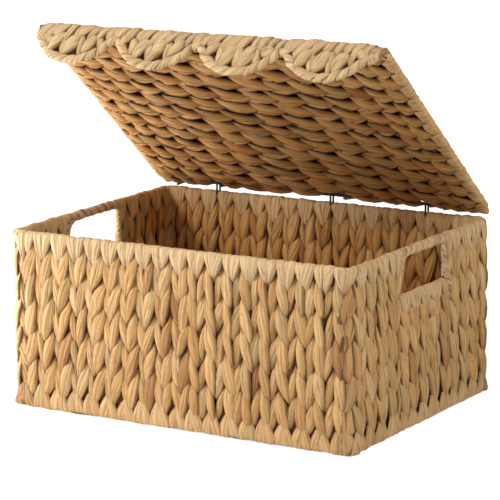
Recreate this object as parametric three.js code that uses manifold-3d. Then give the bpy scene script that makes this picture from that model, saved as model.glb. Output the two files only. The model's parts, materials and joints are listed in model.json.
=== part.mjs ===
// Lidded storage box of woven water hyacinth on a frame of welded iron rod, with the lid held open.
// Millimetres, +Z up. The origin is the middle of the underside; the long front faces -Y.
import * as THREE from 'three';
import { mergeVertices } from 'three/addons/utils/BufferGeometryUtils.js';
import Module from 'manifold-3d';

const wasm = await Module();
wasm.setup();

// The box
const BOX_WIDTH = 430;
const BOX_DEPTH = 312;
const BOX_HEIGHT = 198;
const WALL = 10;
const FLOOR = 10;
const CORNER_RADIUS = 14;
const BOX_EDGE_ROUNDING = 4.4;

// The iron frame: rails and posts are rod, the rest is thinner wire
const RAIL = 3.5;
const POST = 3;
const WIRE = 2;
const FRAME_INSET = 4.6;
const FLOOR_WIRES = 12;
const RINGS = 4;
const LOWEST_RING = 37;
const TOP_RING_BELOW_SLOT = 12;

// The hand slot in each end, under a bar that is the rim rail wrapped with strand
const SLOT_WIDTH = 100;
const SLOT_HEIGHT = 38;
const SLOT_ROUNDING = 7;
const BAR_HEIGHT = 11;
const SLOT_EDGE_COVER = 3;

// The lid, measured from its hinge line
const LID_WIDTH = 438;
const LID_THICKNESS = 9;
const LID_CORNER_RADIUS = 16;
const LID_EDGE_ROUNDING = 4.2;
const LID_ROWS = 14;
const LID_OPEN_DEGREES = 41;

// The scalloped lip that hangs from the lid's front edge
const LIP_THICKNESS = 8.5;
const LIP_CLEARANCE = 2;
const LIP_DROP = 48.5;
const LIP_VALLEY = 20.5;
const VALLEY_ROUNDING = 5;
const LIP_LEFT_INSET = 11;
const LIP_RIGHT_INSET = 4;
const LIP_END_BEND = 9;
const LIP_TAIL = 10;
const FIRST_SCALLOP_LOSS = 5;
const SCALLOPS = 4;
const BINDING = 8;

// The hinge rings, each round the rim rail and the lid's rear rail, in these rows of the lid's weave
const HINGE_LIFT = 8;
const RING_WIRE = 2.4;
const HINGE_ROWS = [2, 7, 11];
const NOTCH_REACH = 11.5;

// Clearances: between a piece and what it touches, and how far a cutter runs past a face
const FIT = 0.3;
const OVERRUN = 5;

// Facets
const BEND_STEPS = 4;
const EDGE_STEPS = 3;
const ROD_SIDES = 8;
const WIRE_SIDES = 6;
const SCALLOP_STEPS = 6;

const QUARTER = Math.PI / 2;

// Sizes that follow from those above
const baseRailHeight = FRAME_INSET;
const rimRailHeight = BOX_HEIGHT - FRAME_INSET;
const loopWidth = BOX_WIDTH - 2 * FRAME_INSET;
const loopDepth = BOX_DEPTH - 2 * FRAME_INSET;
const loopBend = CORNER_RADIUS - FRAME_INSET;
const wallBottom = FLOOR + FIT;
const slotFloor = BOX_HEIGHT - BAR_HEIGHT - SLOT_HEIGHT;
const slotFrameSide = SLOT_WIDTH / 2 + SLOT_EDGE_COVER + WIRE / 2;
const slotFrameFloor = slotFloor - SLOT_EDGE_COVER - WIRE / 2;
const slotFrameBend = SLOT_ROUNDING + SLOT_EDGE_COVER + WIRE / 2;

const hingeY = BOX_DEPTH / 2 - FRAME_INSET;
const hingeZ = BOX_HEIGHT + HINGE_LIFT;
const lidHalf = LID_THICKNESS / 2;
const lipBack = BOX_DEPTH - FRAME_INSET + LIP_CLEARANCE;
const lipFront = lipBack + LIP_THICKNESS;
const lipMiddle = (lipBack + lipFront) / 2;
const lidDepth = lipFront + lidHalf;
const lidCentreY = (lidHalf - lipFront) / 2;
const lidRailWidth = LID_WIDTH - LID_THICKNESS;
const lidRailDepth = lipFront - lidHalf;
const lidRailBend = LID_CORNER_RADIUS - lidHalf;
const lidRowWidth = lidRailWidth / LID_ROWS;

const lipLeft = -LID_WIDTH / 2 + LIP_LEFT_INSET;
const lipRight = LID_WIDTH / 2 - LIP_RIGHT_INSET;
const lipPatternLeft = lipLeft - FIRST_SCALLOP_LOSS;
const scallopPitch = (lipRight - LIP_TAIL - lipPatternLeft) / SCALLOPS;
const scallopDepth = LIP_DROP - LIP_VALLEY;
const tangentReach = ((scallopPitch / 2) ** 2 + scallopDepth ** 2) / (2 * scallopDepth);
const scallopRadius = tangentReach - VALLEY_ROUNDING;
const tangentAngle = Math.asin(scallopPitch / 2 / tangentReach);
const scallopCentreZ = lidHalf - LIP_DROP + scallopRadius;
const valleyCentreZ = scallopCentreZ - tangentReach * Math.cos(tangentAngle);

const woven = new THREE.MeshStandardMaterial({ color: '#c9a473', roughness: 0.85, metalness: 0 });
const wrapped = new THREE.MeshStandardMaterial({ color: '#d3b183', roughness: 0.8, metalness: 0 });
const iron = new THREE.MeshStandardMaterial({ color: '#3b342d', roughness: 0.5, metalness: 0.9 });
const ringWire = new THREE.MeshStandardMaterial({ color: '#5a4c3c', roughness: 0.45, metalness: 0.9 });

// A route through stations, with a section of the sweep at each, so that bends are fine and runs are long.
class StationPath extends THREE.Curve {
  constructor(stations, closed = false) {
    super();
    this.stations = closed ? [...stations, stations[0].clone()] : stations;
    this.closed = closed;
  }

  get runs() {
    return this.stations.length - 1;
  }

  getPoint(t, target = new THREE.Vector3()) {
    const place = THREE.MathUtils.clamp(t, 0, 1) * this.runs;
    const run = Math.min(Math.floor(place), this.runs - 1);
    return target.lerpVectors(this.stations[run], this.stations[run + 1], place - run);
  }

  getPointAt(u, target) {
    return this.getPoint(u, target);
  }

  direction(run) {
    return this.stations[run + 1].clone().sub(this.stations[run]).normalize();
  }

  // The middle of the directions of the two runs that meet at a station.
  getTangentAt(u, target = new THREE.Vector3()) {
    const station = Math.round(u * this.runs);
    const atSeam = this.closed && station % this.runs === 0;
    const before = atSeam ? this.runs - 1 : Math.max(station - 1, 0);
    const after = atSeam ? 0 : Math.min(station, this.runs - 1);
    return target.copy(this.direction(before)).add(this.direction(after)).normalize();
  }
}

// Points of an arc in an outline, its angles measured from straight down towards +X.
function arcPoints(centreX, centreZ, radius, from, to, steps) {
  return Array.from({ length: steps + 1 }, (_, step) => {
    const turn = from + (step / steps) * (to - from);
    return new THREE.Vector2(centreX + radius * Math.sin(turn), centreZ - radius * Math.cos(turn));
  });
}

function roundSection(diameter, sides) {
  const corner = (_, side) => {
    const turn = ((side + 0.5) / sides) * 2 * Math.PI;
    return new THREE.Vector2(Math.cos(turn), Math.sin(turn)).multiplyScalar(diameter / 2);
  };
  return new THREE.Shape(Array.from({ length: sides }, corner));
}

// Round rod along a path. A closed path gives a loop, so its two end faces are left out.
function rod(path, diameter, sides) {
  const section = roundSection(diameter, sides);
  const options = { steps: path.runs, extrudePath: path, bevelEnabled: false };
  const swept = new THREE.ExtrudeGeometry(section, options);
  if (!path.closed) return swept;
  const walls = swept.groups.find((group) => group.materialIndex === 1);
  const { array } = swept.attributes.position;
  const kept = array.slice(walls.start * 3, (walls.start + walls.count) * 3);
  const loop = new THREE.BufferGeometry();
  loop.setAttribute('position', new THREE.BufferAttribute(kept, 3));
  return loop;
}

// A closed solid to cut or join, from a mesh once its shared corners are merged.
function solidOf(geometry) {
  const bare = new THREE.BufferGeometry();
  bare.setAttribute('position', geometry.attributes.position.clone());
  if (geometry.index) bare.setIndex(geometry.index.clone());
  const merged = mergeVertices(bare);
  const vertProperties = Float32Array.from(merged.attributes.position.array);
  const triVerts = Uint32Array.from(merged.index.array);
  return new wasm.Manifold(new wasm.Mesh({ numProp: 3, vertProperties, triVerts }));
}

function geometryOf(solid) {
  const { vertProperties, triVerts } = solid.getMesh();
  const indexed = new THREE.BufferGeometry();
  indexed.setAttribute('position', new THREE.BufferAttribute(vertProperties, 3));
  indexed.setIndex(new THREE.BufferAttribute(triVerts, 1));
  const faceted = indexed.toNonIndexed();
  faceted.computeVertexNormals();
  return faceted;
}

function cut(solid, cutters) {
  return cutters.reduce((left, cutter) => left.subtract(cutter), solid);
}

function piece(name, geometry, material) {
  const mesh = new THREE.Mesh(geometry, material);
  mesh.name = name;
  return mesh;
}

// The channel that a rod lies in.
function channel(path, diameter, sides) {
  return solidOf(rod(path, diameter + 2 * FIT, sides));
}

function straight(from, to) {
  return new StationPath([new THREE.Vector3(...from), new THREE.Vector3(...to)]);
}

// Corners of a level loop of rod, a quarter bend at a time, from the front right one round to the front left.
function bentCorner(quarter, width, depth, bend, height) {
  const sideX = quarter < 2 ? 1 : -1;
  const sideY = quarter === 1 || quarter === 2 ? 1 : -1;
  const centreX = sideX * (width / 2 - bend);
  const centreY = sideY * (depth / 2 - bend);
  return Array.from({ length: BEND_STEPS + 1 }, (_, step) => {
    const turn = (quarter - 1 + step / BEND_STEPS) * QUARTER;
    return new THREE.Vector3(centreX + bend * Math.cos(turn), centreY + bend * Math.sin(turn), height);
  });
}

function levelLoop(width, depth, bend, height) {
  const stations = [0, 1, 2, 3].flatMap((quarter) => bentCorner(quarter, width, depth, bend, height));
  return new StationPath(stations, true);
}

function roundedRectangle(width, depth, radius, Outline = THREE.Shape) {
  const outline = new Outline();
  for (const quarter of [0, 1, 2, 3]) {
    const sideX = quarter < 2 ? 1 : -1;
    const sideY = quarter === 1 || quarter === 2 ? 1 : -1;
    const from = (quarter - 1) * QUARTER;
    outline.absarc(sideX * (width / 2 - radius), sideY * (depth / 2 - radius), radius, from, from + QUARTER);
  }
  return outline;
}

// A slab on z = 0 with its edges rounded over, all round and inside any hole. An arc is drawn in twice as
// many steps as curveSegments says.
function softSlab(outline, thickness, rounding) {
  const slab = new THREE.ExtrudeGeometry(outline, {
    depth: thickness - 2 * rounding,
    curveSegments: BEND_STEPS / 2,
    bevelSegments: EDGE_STEPS,
    bevelThickness: rounding,
    bevelSize: rounding,
    bevelOffset: -rounding,
  });
  return slab.translate(0, 0, rounding);
}

// An outline drawn as (along, up), given its thickness centred on the wall or lip that it crosses.
function acrossY(outline, thickness) {
  const options = { depth: thickness, bevelEnabled: false, curveSegments: BEND_STEPS / 2 };
  const plain = new THREE.ExtrudeGeometry(outline, options);
  return plain.translate(0, 0, -thickness / 2).rotateX(QUARTER);
}

function acrossX(outline, thickness) {
  return acrossY(outline, thickness).rotateZ(QUARTER);
}

// Frame of the box

const rimLoop = levelLoop(loopWidth, loopDepth, loopBend, rimRailHeight);
const baseLoop = levelLoop(loopWidth, loopDepth, loopBend, baseRailHeight);

// Each post stands inside the bend of the wires, and ends just short of both rails.
function postPath(sideX, sideY, reachesRails) {
  const inBend = (loopBend - WIRE / 2 - FIT - POST / 2) * Math.SQRT1_2;
  const x = sideX * (BOX_WIDTH / 2 - CORNER_RADIUS + inBend);
  const y = sideY * (BOX_DEPTH / 2 - CORNER_RADIUS + inBend);
  const stop = reachesRails ? 0 : RAIL / 2 + FIT;
  return straight([x, y, baseRailHeight + stop], [x, y, rimRailHeight - stop]);
}

const postSides = [[1, -1], [1, 1], [-1, 1], [-1, -1]];

// A wire bent round the slot, from the rim rail down one side, under the slot and up the other.
function slotFramePath(side, reachesRail) {
  const x = side * (BOX_WIDTH / 2 - FRAME_INSET);
  const top = rimRailHeight - (reachesRail ? 0 : RAIL / 2 + FIT);
  const bend = (sideY) =>
    Array.from({ length: BEND_STEPS + 1 }, (_, step) => {
      const turn = (step / BEND_STEPS) * QUARTER;
      const along = slotFrameSide - slotFrameBend * (1 - Math.cos(turn));
      return new THREE.Vector3(x, sideY * along, slotFrameFloor + slotFrameBend * (1 - Math.sin(turn)));
    });
  const near = [new THREE.Vector3(x, -slotFrameSide, top), ...bend(-1)];
  const far = [...bend(1).reverse(), new THREE.Vector3(x, slotFrameSide, top)];
  return new StationPath([...near, ...far]);
}

// Whole rings are evenly spaced up to the slots; one more ring, a step higher, is parted by the slots.
const topRing = slotFrameFloor - TOP_RING_BELOW_SLOT;
const ringStep = (topRing - LOWEST_RING) / (RINGS - 1);
const ringHeights = Array.from({ length: RINGS }, (_, ring) => LOWEST_RING + ring * ringStep);
const ringLoop = (height) => levelLoop(loopWidth, loopDepth, loopBend, height);

// Half of the parted ring: along the front (-1) or the back (1), ending at the slots' frames.
function partedPath(half, reachesFrame) {
  const height = topRing + ringStep;
  const endY = half * (slotFrameSide + (reachesFrame ? 0 : WIRE + FIT));
  const quarters = half < 0 ? [3, 0] : [1, 2];
  const bends = quarters.flatMap((quarter) => bentCorner(quarter, loopWidth, loopDepth, loopBend, height));
  const side = half < 0 ? -1 : 1;
  const start = new THREE.Vector3((side * loopWidth) / 2, endY, height);
  const end = new THREE.Vector3((-side * loopWidth) / 2, endY, height);
  return new StationPath([start, ...bends, end]);
}

function boxFrame() {
  const posts = postSides.map(([sideX, sideY], post) =>
    piece(`corner_post_${post + 1}`, rod(postPath(sideX, sideY, false), POST, ROD_SIDES), iron));
  const rings = ringHeights.map((height, ring) =>
    piece(`ring_wire_${ring + 1}`, rod(ringLoop(height), WIRE, WIRE_SIDES), iron));
  return [
    piece('rim_rail', rod(rimLoop, RAIL, ROD_SIDES), iron),
    piece('base_rail', rod(baseLoop, RAIL, ROD_SIDES), iron),
    ...posts,
    ...rings,
    piece('parted_wire_front', rod(partedPath(-1, false), WIRE, WIRE_SIDES), iron),
    piece('parted_wire_back', rod(partedPath(1, false), WIRE, WIRE_SIDES), iron),
    piece('slot_frame_left', rod(slotFramePath(-1, false), WIRE, WIRE_SIDES), iron),
    piece('slot_frame_right', rod(slotFramePath(1, false), WIRE, WIRE_SIDES), iron),
  ];
}

// Floor wires run from front to back between the long sides of the base rail.
function floorWirePath(wire, reachesRail) {
  const x = -loopWidth / 2 + ((wire + 1) * loopWidth) / (FLOOR_WIRES + 1);
  const end = loopDepth / 2 - (reachesRail ? 0 : RAIL / 2 + FIT);
  return straight([x, -end, baseRailHeight], [x, end, baseRailHeight]);
}

const floorWires = Array.from({ length: FLOOR_WIRES }, (_, wire) => wire);

function boxFloorWires() {
  return floorWires.map((wire) => {
    const name = `floor_wire_${String(wire + 1).padStart(2, '0')}`;
    return piece(name, rod(floorWirePath(wire, false), WIRE, WIRE_SIDES), iron);
  });
}

// Weave of the box

// A hinge ring: two half turns, round the rim rail and round the lid's rear rail, joined by straight sides.
const ringTurn = RAIL / 2 + FIT + RING_WIRE / 2;
const hingeColumns = HINGE_ROWS.map((row) => (row + 0.5) * lidRowWidth - lidRailWidth / 2);

function hingeRingPath() {
  const halfTurn = (centreZ, from) =>
    Array.from({ length: 2 * BEND_STEPS + 1 }, (_, step) => {
      const turn = from + (step / BEND_STEPS) * QUARTER;
      return new THREE.Vector3(0, hingeY + ringTurn * Math.cos(turn), centreZ + ringTurn * Math.sin(turn));
    });
  return new StationPath([...halfTurn(hingeZ, 0), ...halfTurn(rimRailHeight, Math.PI)], true);
}

// The parting of the rim's strands that lets a hinge ring reach round the rim rail.
function rimNotch(column) {
  const reach = ringTurn + RING_WIRE / 2 + FIT;
  const outline = new THREE.Shape([
    ...arcPoints(hingeY, rimRailHeight, reach, -QUARTER, QUARTER, 2 * BEND_STEPS),
    new THREE.Vector2(hingeY + reach, BOX_HEIGHT + OVERRUN),
    new THREE.Vector2(hingeY - reach, BOX_HEIGHT + OVERRUN),
  ]);
  return solidOf(acrossX(outline, RING_WIRE + 2 * FIT).translate(column, 0, 0));
}

function wallChannels() {
  return [
    channel(rimLoop, RAIL, ROD_SIDES),
    ...postSides.map(([sideX, sideY]) => channel(postPath(sideX, sideY, true), POST, ROD_SIDES)),
    ...ringHeights.map((height) => channel(ringLoop(height), WIRE, WIRE_SIDES)),
    ...[-1, 1].map((half) => channel(partedPath(half, true), WIRE, WIRE_SIDES)),
    ...[-1, 1].map((side) => channel(slotFramePath(side, true), WIRE, WIRE_SIDES)),
    ...hingeColumns.map(rimNotch),
  ];
}

// The slot and the bar over it, as one opening down from the rim with round lower corners.
function slotCutter(side) {
  const half = SLOT_WIDTH / 2;
  const inner = half - SLOT_ROUNDING;
  const outline = new THREE.Shape();
  outline.moveTo(half, BOX_HEIGHT + OVERRUN);
  outline.lineTo(-half, BOX_HEIGHT + OVERRUN);
  outline.absarc(-inner, slotFloor + SLOT_ROUNDING, SLOT_ROUNDING, Math.PI, Math.PI + QUARTER);
  outline.absarc(inner, slotFloor + SLOT_ROUNDING, SLOT_ROUNDING, -QUARTER, 0);
  const cutter = acrossX(outline, WALL + 2 * OVERRUN);
  return solidOf(cutter.translate((side * (BOX_WIDTH - WALL)) / 2, 0, 0));
}

// The space that one wall fills, between the mitres at its two corners; the wall faces -Y before it is turned.
function wallSpace(length, distance, turns) {
  const slit = FIT * Math.SQRT1_2;
  const outer = length / 2 + OVERRUN - slit;
  const inner = length / 2 - CORNER_RADIUS - slit;
  const outline = new THREE.Shape([
    new THREE.Vector2(-outer, -distance - OVERRUN),
    new THREE.Vector2(outer, -distance - OVERRUN),
    new THREE.Vector2(inner, -distance + CORNER_RADIUS),
    new THREE.Vector2(-inner, -distance + CORNER_RADIUS),
  ]);
  const depth = BOX_HEIGHT - wallBottom + OVERRUN;
  const space = new THREE.ExtrudeGeometry(outline, { depth, bevelEnabled: false });
  return solidOf(space.translate(0, 0, wallBottom).rotateZ(turns * QUARTER));
}

function boxWalls() {
  const outline = roundedRectangle(BOX_WIDTH, BOX_DEPTH, CORNER_RADIUS);
  const insideWidth = BOX_WIDTH - 2 * WALL;
  const insideDepth = BOX_DEPTH - 2 * WALL;
  outline.holes.push(roundedRectangle(insideWidth, insideDepth, CORNER_RADIUS - WALL, THREE.Path));
  const whole = solidOf(softSlab(outline, BOX_HEIGHT, BOX_EDGE_ROUNDING));
  const ring = cut(whole, [...wallChannels(), slotCutter(-1), slotCutter(1)]);
  const wall = (name, length, distance, turns) =>
    piece(name, geometryOf(ring.intersect(wallSpace(length, distance, turns))), woven);
  return [
    wall('front_panel', BOX_WIDTH, BOX_DEPTH / 2, 0),
    wall('right_panel', BOX_DEPTH, BOX_WIDTH / 2, 1),
    wall('back_panel', BOX_WIDTH, BOX_DEPTH / 2, 2),
    wall('left_panel', BOX_DEPTH, BOX_WIDTH / 2, 3),
  ];
}

function boxFloor() {
  const outline = roundedRectangle(BOX_WIDTH, BOX_DEPTH, CORNER_RADIUS);
  const whole = solidOf(softSlab(outline, BOX_HEIGHT, BOX_EDGE_ROUNDING));
  const above = new THREE.BoxGeometry(BOX_WIDTH + OVERRUN, BOX_DEPTH + OVERRUN, BOX_HEIGHT);
  const slab = whole.subtract(solidOf(above.translate(0, 0, FLOOR + BOX_HEIGHT / 2)));
  const solid = cut(slab, [
    channel(baseLoop, RAIL, ROD_SIDES),
    ...floorWires.map((wire) => channel(floorWirePath(wire, true), WIRE, WIRE_SIDES)),
    ...postSides.map(([sideX, sideY]) => channel(postPath(sideX, sideY, true), POST, ROD_SIDES)),
  ]);
  return piece('floor_panel', geometryOf(solid), woven);
}

// The strand wound round the rim rail over a slot.
function handleWrap(name, side) {
  const outline = roundedRectangle(WALL, BAR_HEIGHT, BOX_EDGE_ROUNDING);
  const bar = acrossY(outline, SLOT_WIDTH - 2 * FIT);
  bar.translate((side * (BOX_WIDTH - WALL)) / 2, 0, BOX_HEIGHT - BAR_HEIGHT / 2);
  const solid = cut(solidOf(bar), [channel(rimLoop, RAIL, ROD_SIDES)]);
  return piece(name, geometryOf(solid), wrapped);
}

function hingeRings() {
  return hingeColumns.map((column, ring) => {
    const mesh = piece(`hinge_ring_${ring + 1}`, rod(hingeRingPath(), RING_WIRE, ROD_SIDES), ringWire);
    mesh.position.x = column;
    return mesh;
  });
}

// Lid, drawn closed with its hinge line as the origin

const lidLoop = levelLoop(lidRailWidth, lidRailDepth, lidRailBend, 0);
lidLoop.stations.forEach((station) => station.setY(station.y - lidRailDepth / 2));

const lidWires = Array.from({ length: LID_ROWS - 1 }, (_, wire) => wire);

function lidWirePath(wire, reachesRail) {
  const x = (wire + 1) * lidRowWidth - lidRailWidth / 2;
  const stop = reachesRail ? 0 : RAIL / 2 + FIT;
  return straight([x, -stop, 0], [x, stop - lidRailDepth, 0]);
}

// The lip's lower edge as (along, up) points, moved in from its outer line by an offset.
function scallopPoints(offset) {
  const points = [];
  const radius = scallopRadius - offset;
  for (let scallop = 0; scallop < SCALLOPS; scallop += 1) {
    const centreX = lipPatternLeft + (scallop + 0.5) * scallopPitch;
    const cutOff = -Math.asin((centreX - lipLeft - offset) / radius);
    const from = scallop === 0 ? cutOff : -tangentAngle;
    points.push(...arcPoints(centreX, scallopCentreZ, radius, from, tangentAngle, SCALLOP_STEPS));
    const end = scallop === SCALLOPS - 1 ? Math.PI : Math.PI - tangentAngle;
    const valleyX = centreX + scallopPitch / 2;
    const valleyRadius = VALLEY_ROUNDING + offset;
    const valley = arcPoints(valleyX, valleyCentreZ, valleyRadius, Math.PI + tangentAngle, end, BEND_STEPS);
    points.push(...valley.slice(1, scallop === SCALLOPS - 1 ? undefined : -1));
  }
  return points;
}

function lipEdge(offset, top) {
  const endZ = valleyCentreZ + VALLEY_ROUNDING + LIP_END_BEND;
  const endX = lipRight - LIP_END_BEND;
  return [
    new THREE.Vector2(lipLeft + offset, top),
    ...scallopPoints(offset),
    ...arcPoints(endX, endZ, LIP_END_BEND - offset, 0, QUARTER, BEND_STEPS),
    new THREE.Vector2(lipRight - offset, top),
  ];
}

function lipEdgePath(top) {
  const stations = lipEdge(BINDING / 2, top).map(({ x, y }) => new THREE.Vector3(x, -lipMiddle, y));
  return new StationPath(stations);
}

const lipWirePath = lipEdgePath(-RAIL / 2 - FIT);
const lipChannel = () => channel(lipEdgePath(0), WIRE, WIRE_SIDES);

// The parting of the lid's strands round a hinge ring, wide enough for the ring at every angle of the lid.
function lidNotch(column) {
  const outline = roundSection(2 * NOTCH_REACH, 2 * ROD_SIDES);
  return solidOf(acrossX(outline, RING_WIRE + 2 * FIT).translate(column, 0, 0));
}

function lidPanel() {
  const slab = softSlab(roundedRectangle(LID_WIDTH, lidDepth, LID_CORNER_RADIUS), LID_THICKNESS, LID_EDGE_ROUNDING);
  slab.translate(0, lidCentreY, -lidHalf);
  const solid = cut(solidOf(slab), [
    channel(lidLoop, RAIL, ROD_SIDES),
    ...lidWires.map((wire) => channel(lidWirePath(wire, true), WIRE, WIRE_SIDES)),
    lipChannel(),
    ...hingeColumns.map(lidNotch),
  ]);
  return piece('lid_panel', geometryOf(solid), woven);
}

function lipPanel() {
  const outline = new THREE.Shape(lipEdge(BINDING + FIT, -lidHalf - FIT));
  return piece('lip_panel', acrossY(outline, LIP_THICKNESS).translate(0, -lipMiddle, 0), woven);
}

function lipBinding() {
  const whole = solidOf(rod(lipEdgePath(-lidHalf - FIT), BINDING, ROD_SIDES));
  return piece('lip_binding', geometryOf(whole.subtract(lipChannel())), wrapped);
}

function lidFrame() {
  const wires = lidWires.map((wire) => {
    const name = `lid_wire_${String(wire + 1).padStart(2, '0')}`;
    return piece(name, rod(lidWirePath(wire, false), WIRE, WIRE_SIDES), iron);
  });
  return [
    piece('lid_rail', rod(lidLoop, RAIL, ROD_SIDES), iron),
    ...wires,
    piece('lip_wire', rod(lipWirePath, WIRE, WIRE_SIDES), iron),
  ];
}

const box = new THREE.Group();
box.add(...boxFrame(), ...boxFloorWires(), ...boxWalls(), boxFloor());
box.add(handleWrap('handle_wrap_left', -1), handleWrap('handle_wrap_right', 1), ...hingeRings());

const lid = new THREE.Group();
lid.add(...lidFrame(), lidPanel(), lipPanel(), lipBinding());
lid.position.set(0, hingeY, hingeZ);
lid.rotation.x = -THREE.MathUtils.degToRad(LID_OPEN_DEGREES);

const part = new THREE.Group();
part.add(box, lid);

export default part;
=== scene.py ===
"""Woven lidded box: water hyacinth strands twined over the rails and wires of an iron frame."""

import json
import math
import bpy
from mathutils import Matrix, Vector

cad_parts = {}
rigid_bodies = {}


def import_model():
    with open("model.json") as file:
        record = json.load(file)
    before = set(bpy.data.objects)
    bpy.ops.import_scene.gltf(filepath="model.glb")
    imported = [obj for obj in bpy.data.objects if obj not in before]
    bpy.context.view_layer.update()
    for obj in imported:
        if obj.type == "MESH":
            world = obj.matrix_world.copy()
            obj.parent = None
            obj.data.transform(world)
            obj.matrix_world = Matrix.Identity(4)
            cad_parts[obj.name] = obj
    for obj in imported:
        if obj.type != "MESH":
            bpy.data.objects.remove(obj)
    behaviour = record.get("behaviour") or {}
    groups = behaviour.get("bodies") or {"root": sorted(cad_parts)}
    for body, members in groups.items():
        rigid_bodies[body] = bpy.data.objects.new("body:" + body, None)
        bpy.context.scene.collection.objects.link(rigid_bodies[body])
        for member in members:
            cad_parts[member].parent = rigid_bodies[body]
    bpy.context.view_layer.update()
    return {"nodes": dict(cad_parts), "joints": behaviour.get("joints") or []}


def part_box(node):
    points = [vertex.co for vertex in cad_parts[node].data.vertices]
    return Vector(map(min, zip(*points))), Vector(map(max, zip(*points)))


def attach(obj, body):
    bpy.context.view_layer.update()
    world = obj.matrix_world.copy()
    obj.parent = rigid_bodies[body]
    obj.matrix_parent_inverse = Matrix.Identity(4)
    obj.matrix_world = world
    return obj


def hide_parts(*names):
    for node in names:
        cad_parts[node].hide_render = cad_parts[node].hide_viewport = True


bl_info = {
    "name": "Woven lidded box",
    "version": (1, 0, 0),
    "blender": (4, 5, 0),
    "location": "View3D > Sidebar > Woven box",
    "description": "Weaves a lidded hyacinth box over its iron frame, and sets it on a stage",
    "category": "Add Mesh",
}

import bmesh
import bpy
import numpy as np
from bpy.props import FloatProperty, FloatVectorProperty, IntProperty, PointerProperty
from mathutils import Matrix, Vector

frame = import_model()

MM = 0.001


def middle(node):
    """The middle of a part of the frame."""
    low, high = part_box(node)
    return (low + high) / 2


# The box's own places, most of them read from its rails, wires and rings
RIM_LOW, RIM_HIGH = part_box("rim_rail")
ROD = RIM_HIGH.z - RIM_LOW.z
BASE_Z = middle("base_rail").z
LOOP_X = RIM_HIGH.x - ROD / 2
LOOP_Y = RIM_HIGH.y - ROD / 2
LOOP_BEND = 9.4 * MM
WALL_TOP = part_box("front_panel")[1].z
WIRE_Z = [middle(f"ring_wire_{k}").z for k in range(1, 5)] + [middle("parted_wire_front").z]
WIRE_RADIUS = 1 * MM
SLOT_FLOOR_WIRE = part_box("slot_frame_right")[0].z + WIRE_RADIUS
BAR_LOW, BAR_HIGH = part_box("handle_wrap_right")
BAR_MIDDLE = middle("handle_wrap_right")
BAR_SIZE = BAR_HIGH - BAR_LOW
SLOT_HALF = BAR_HIGH.y
RING_X = [middle(f"hinge_ring_{k}").x for k in range(1, 4)]
FLOOR_WIRE_X = [middle(f"floor_wire_{k:02d}").x for k in range(1, 13)]

# The lid's own places, most of them read from its rail, and how far it leans back from level
HINGE = Vector(frame["joints"][0]["pos_m"])
LID_RAIL_LOW, LID_RAIL_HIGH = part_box("lid_rail")
LID_ROD_RADIUS = HINGE.z - LID_RAIL_LOW.z
LID_RISE = LID_RAIL_HIGH.z - LID_ROD_RADIUS - HINGE.z
LID_REACH = HINGE.y - LID_RAIL_LOW.y - LID_ROD_RADIUS
LID_TILT = math.atan2(LID_RISE, LID_REACH)
LID_DEPTH = math.hypot(LID_RISE, LID_REACH)
LID_RAIL_X = LID_RAIL_HIGH.x - LID_ROD_RADIUS
LID_OUTER_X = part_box("lid_panel")[1].x
LID_HALF = 4.5 * MM

# Twining. A strand of breadth 1 fills the pitch. Every other one leans and stands out the other way.
# The core is the plain strand inside a wall, with its width and thickness. Its dark colour is painted shade
# in the gaps between columns.
STRAND_PITCH = 11 * MM
LEANS = 1.1, -0.85
RISES = 1.2, -0.8
CORE_LENGTH = 10 * MM
CORE = 13 * MM, 0.7 * MM
ROLL_OF_LEAN = 0.08
BREADTH_OF_RISE = 0.05
ROOM_UNDER_FOLD = 6 * MM
ROOM_OVER_FOLD = 5 * MM
FOOT_FOLD_BLEACH = 0.4
LEAST_FOLD = 0.5

# How strands differ from each other: in place, in turn, and as shares of their sizes
SLIDE_SPREAD, LEAD_SPREAD, SURFACE_SPREAD = 2.8 * MM, 0.45 * MM, 2.2 * MM
SURFACE_SCALE = 95.0
LEAN_SPREAD, ROLL_SPREAD, TILT_SPREAD = 0.1, 0.17, 0.03
BREADTH_SPREAD, DEPTH_SPREAD, LENGTH_SPREAD = 0.2, 0.06, 0.1
FOLD_BREADTH_SPREAD, FOLD_LENGTH_SPREAD = 0.05, 0.12
TURN_TILT_SPREADS = 0.08, 0.1, 0.2
TURN_SIZES, TURN_SIZE_SPREADS = (1.0, 1.0, 1.06), (0.05, 0.05, 0.12)

# Outlines of a strand's section, as shares of half its width and thickness
UNDER_SHARES = (1, 0), (0.5, -0.75), (-0.5, -0.75)
SECTION_SHARES = (
    ((-1, 0), (-0.72, 0.74), (-0.34, 0.98), (-0.12, 0.62), (0.2, 0.94), (0.68, 0.76), *UNDER_SHARES),
    ((-1, 0), (-0.7, 0.7), (-0.4, 0.9), (0, 1), (0.34, 0.9), (0.52, 0.6), *UNDER_SHARES),
    ((-1, 0), (-0.68, 0.68), (-0.5, 0.56), (-0.2, 0.95), (0.3, 0.98), (0.7, 0.7), *UNDER_SHARES),
)
TURN_SHARES = (-1, 0), (-0.62, 0.8), (-0.05, 1), (0.3, 0.86), (0.7, 0.75), (1, 0), (0.5, -0.6), (-0.5, -0.6)
TURN_WIDTH_SHARES = 1, 0.93, 1.07
TURN_STEPS = 14
# Painted shade: how much a turn's edges are darkened, and how dark a strand's tips are, where it also stands
# for age
TURN_EDGE_SHADE = 0.9
TIP_SHADE_AND_AGE = 0.5
FIBRE_LENGTH = 40 * MM

# Lengths of strand: bow to the side, swell towards a tip as a share, and section
LEAF_HABITS = (
    (0, 0.1, 0),
    (0.9 * MM, -0.05, 1),
    (-0.8 * MM, 0.06, 2),
    (0.5 * MM, 0.16, 1),
    (-0.4 * MM, -0.1, 0),
    (0.2 * MM, 0.02, 2),
)
LEAF_SHARES = -1, -0.9, -0.64, -0.34, -0.02, 0.3, 0.62, 0.88, 1
LEAF_TAPER, LEAF_DIP_CURVE, LEAF_LOWEST = 2.1, 1.9, -0.9 * MM
BLUNTNESS = 0.8

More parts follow.
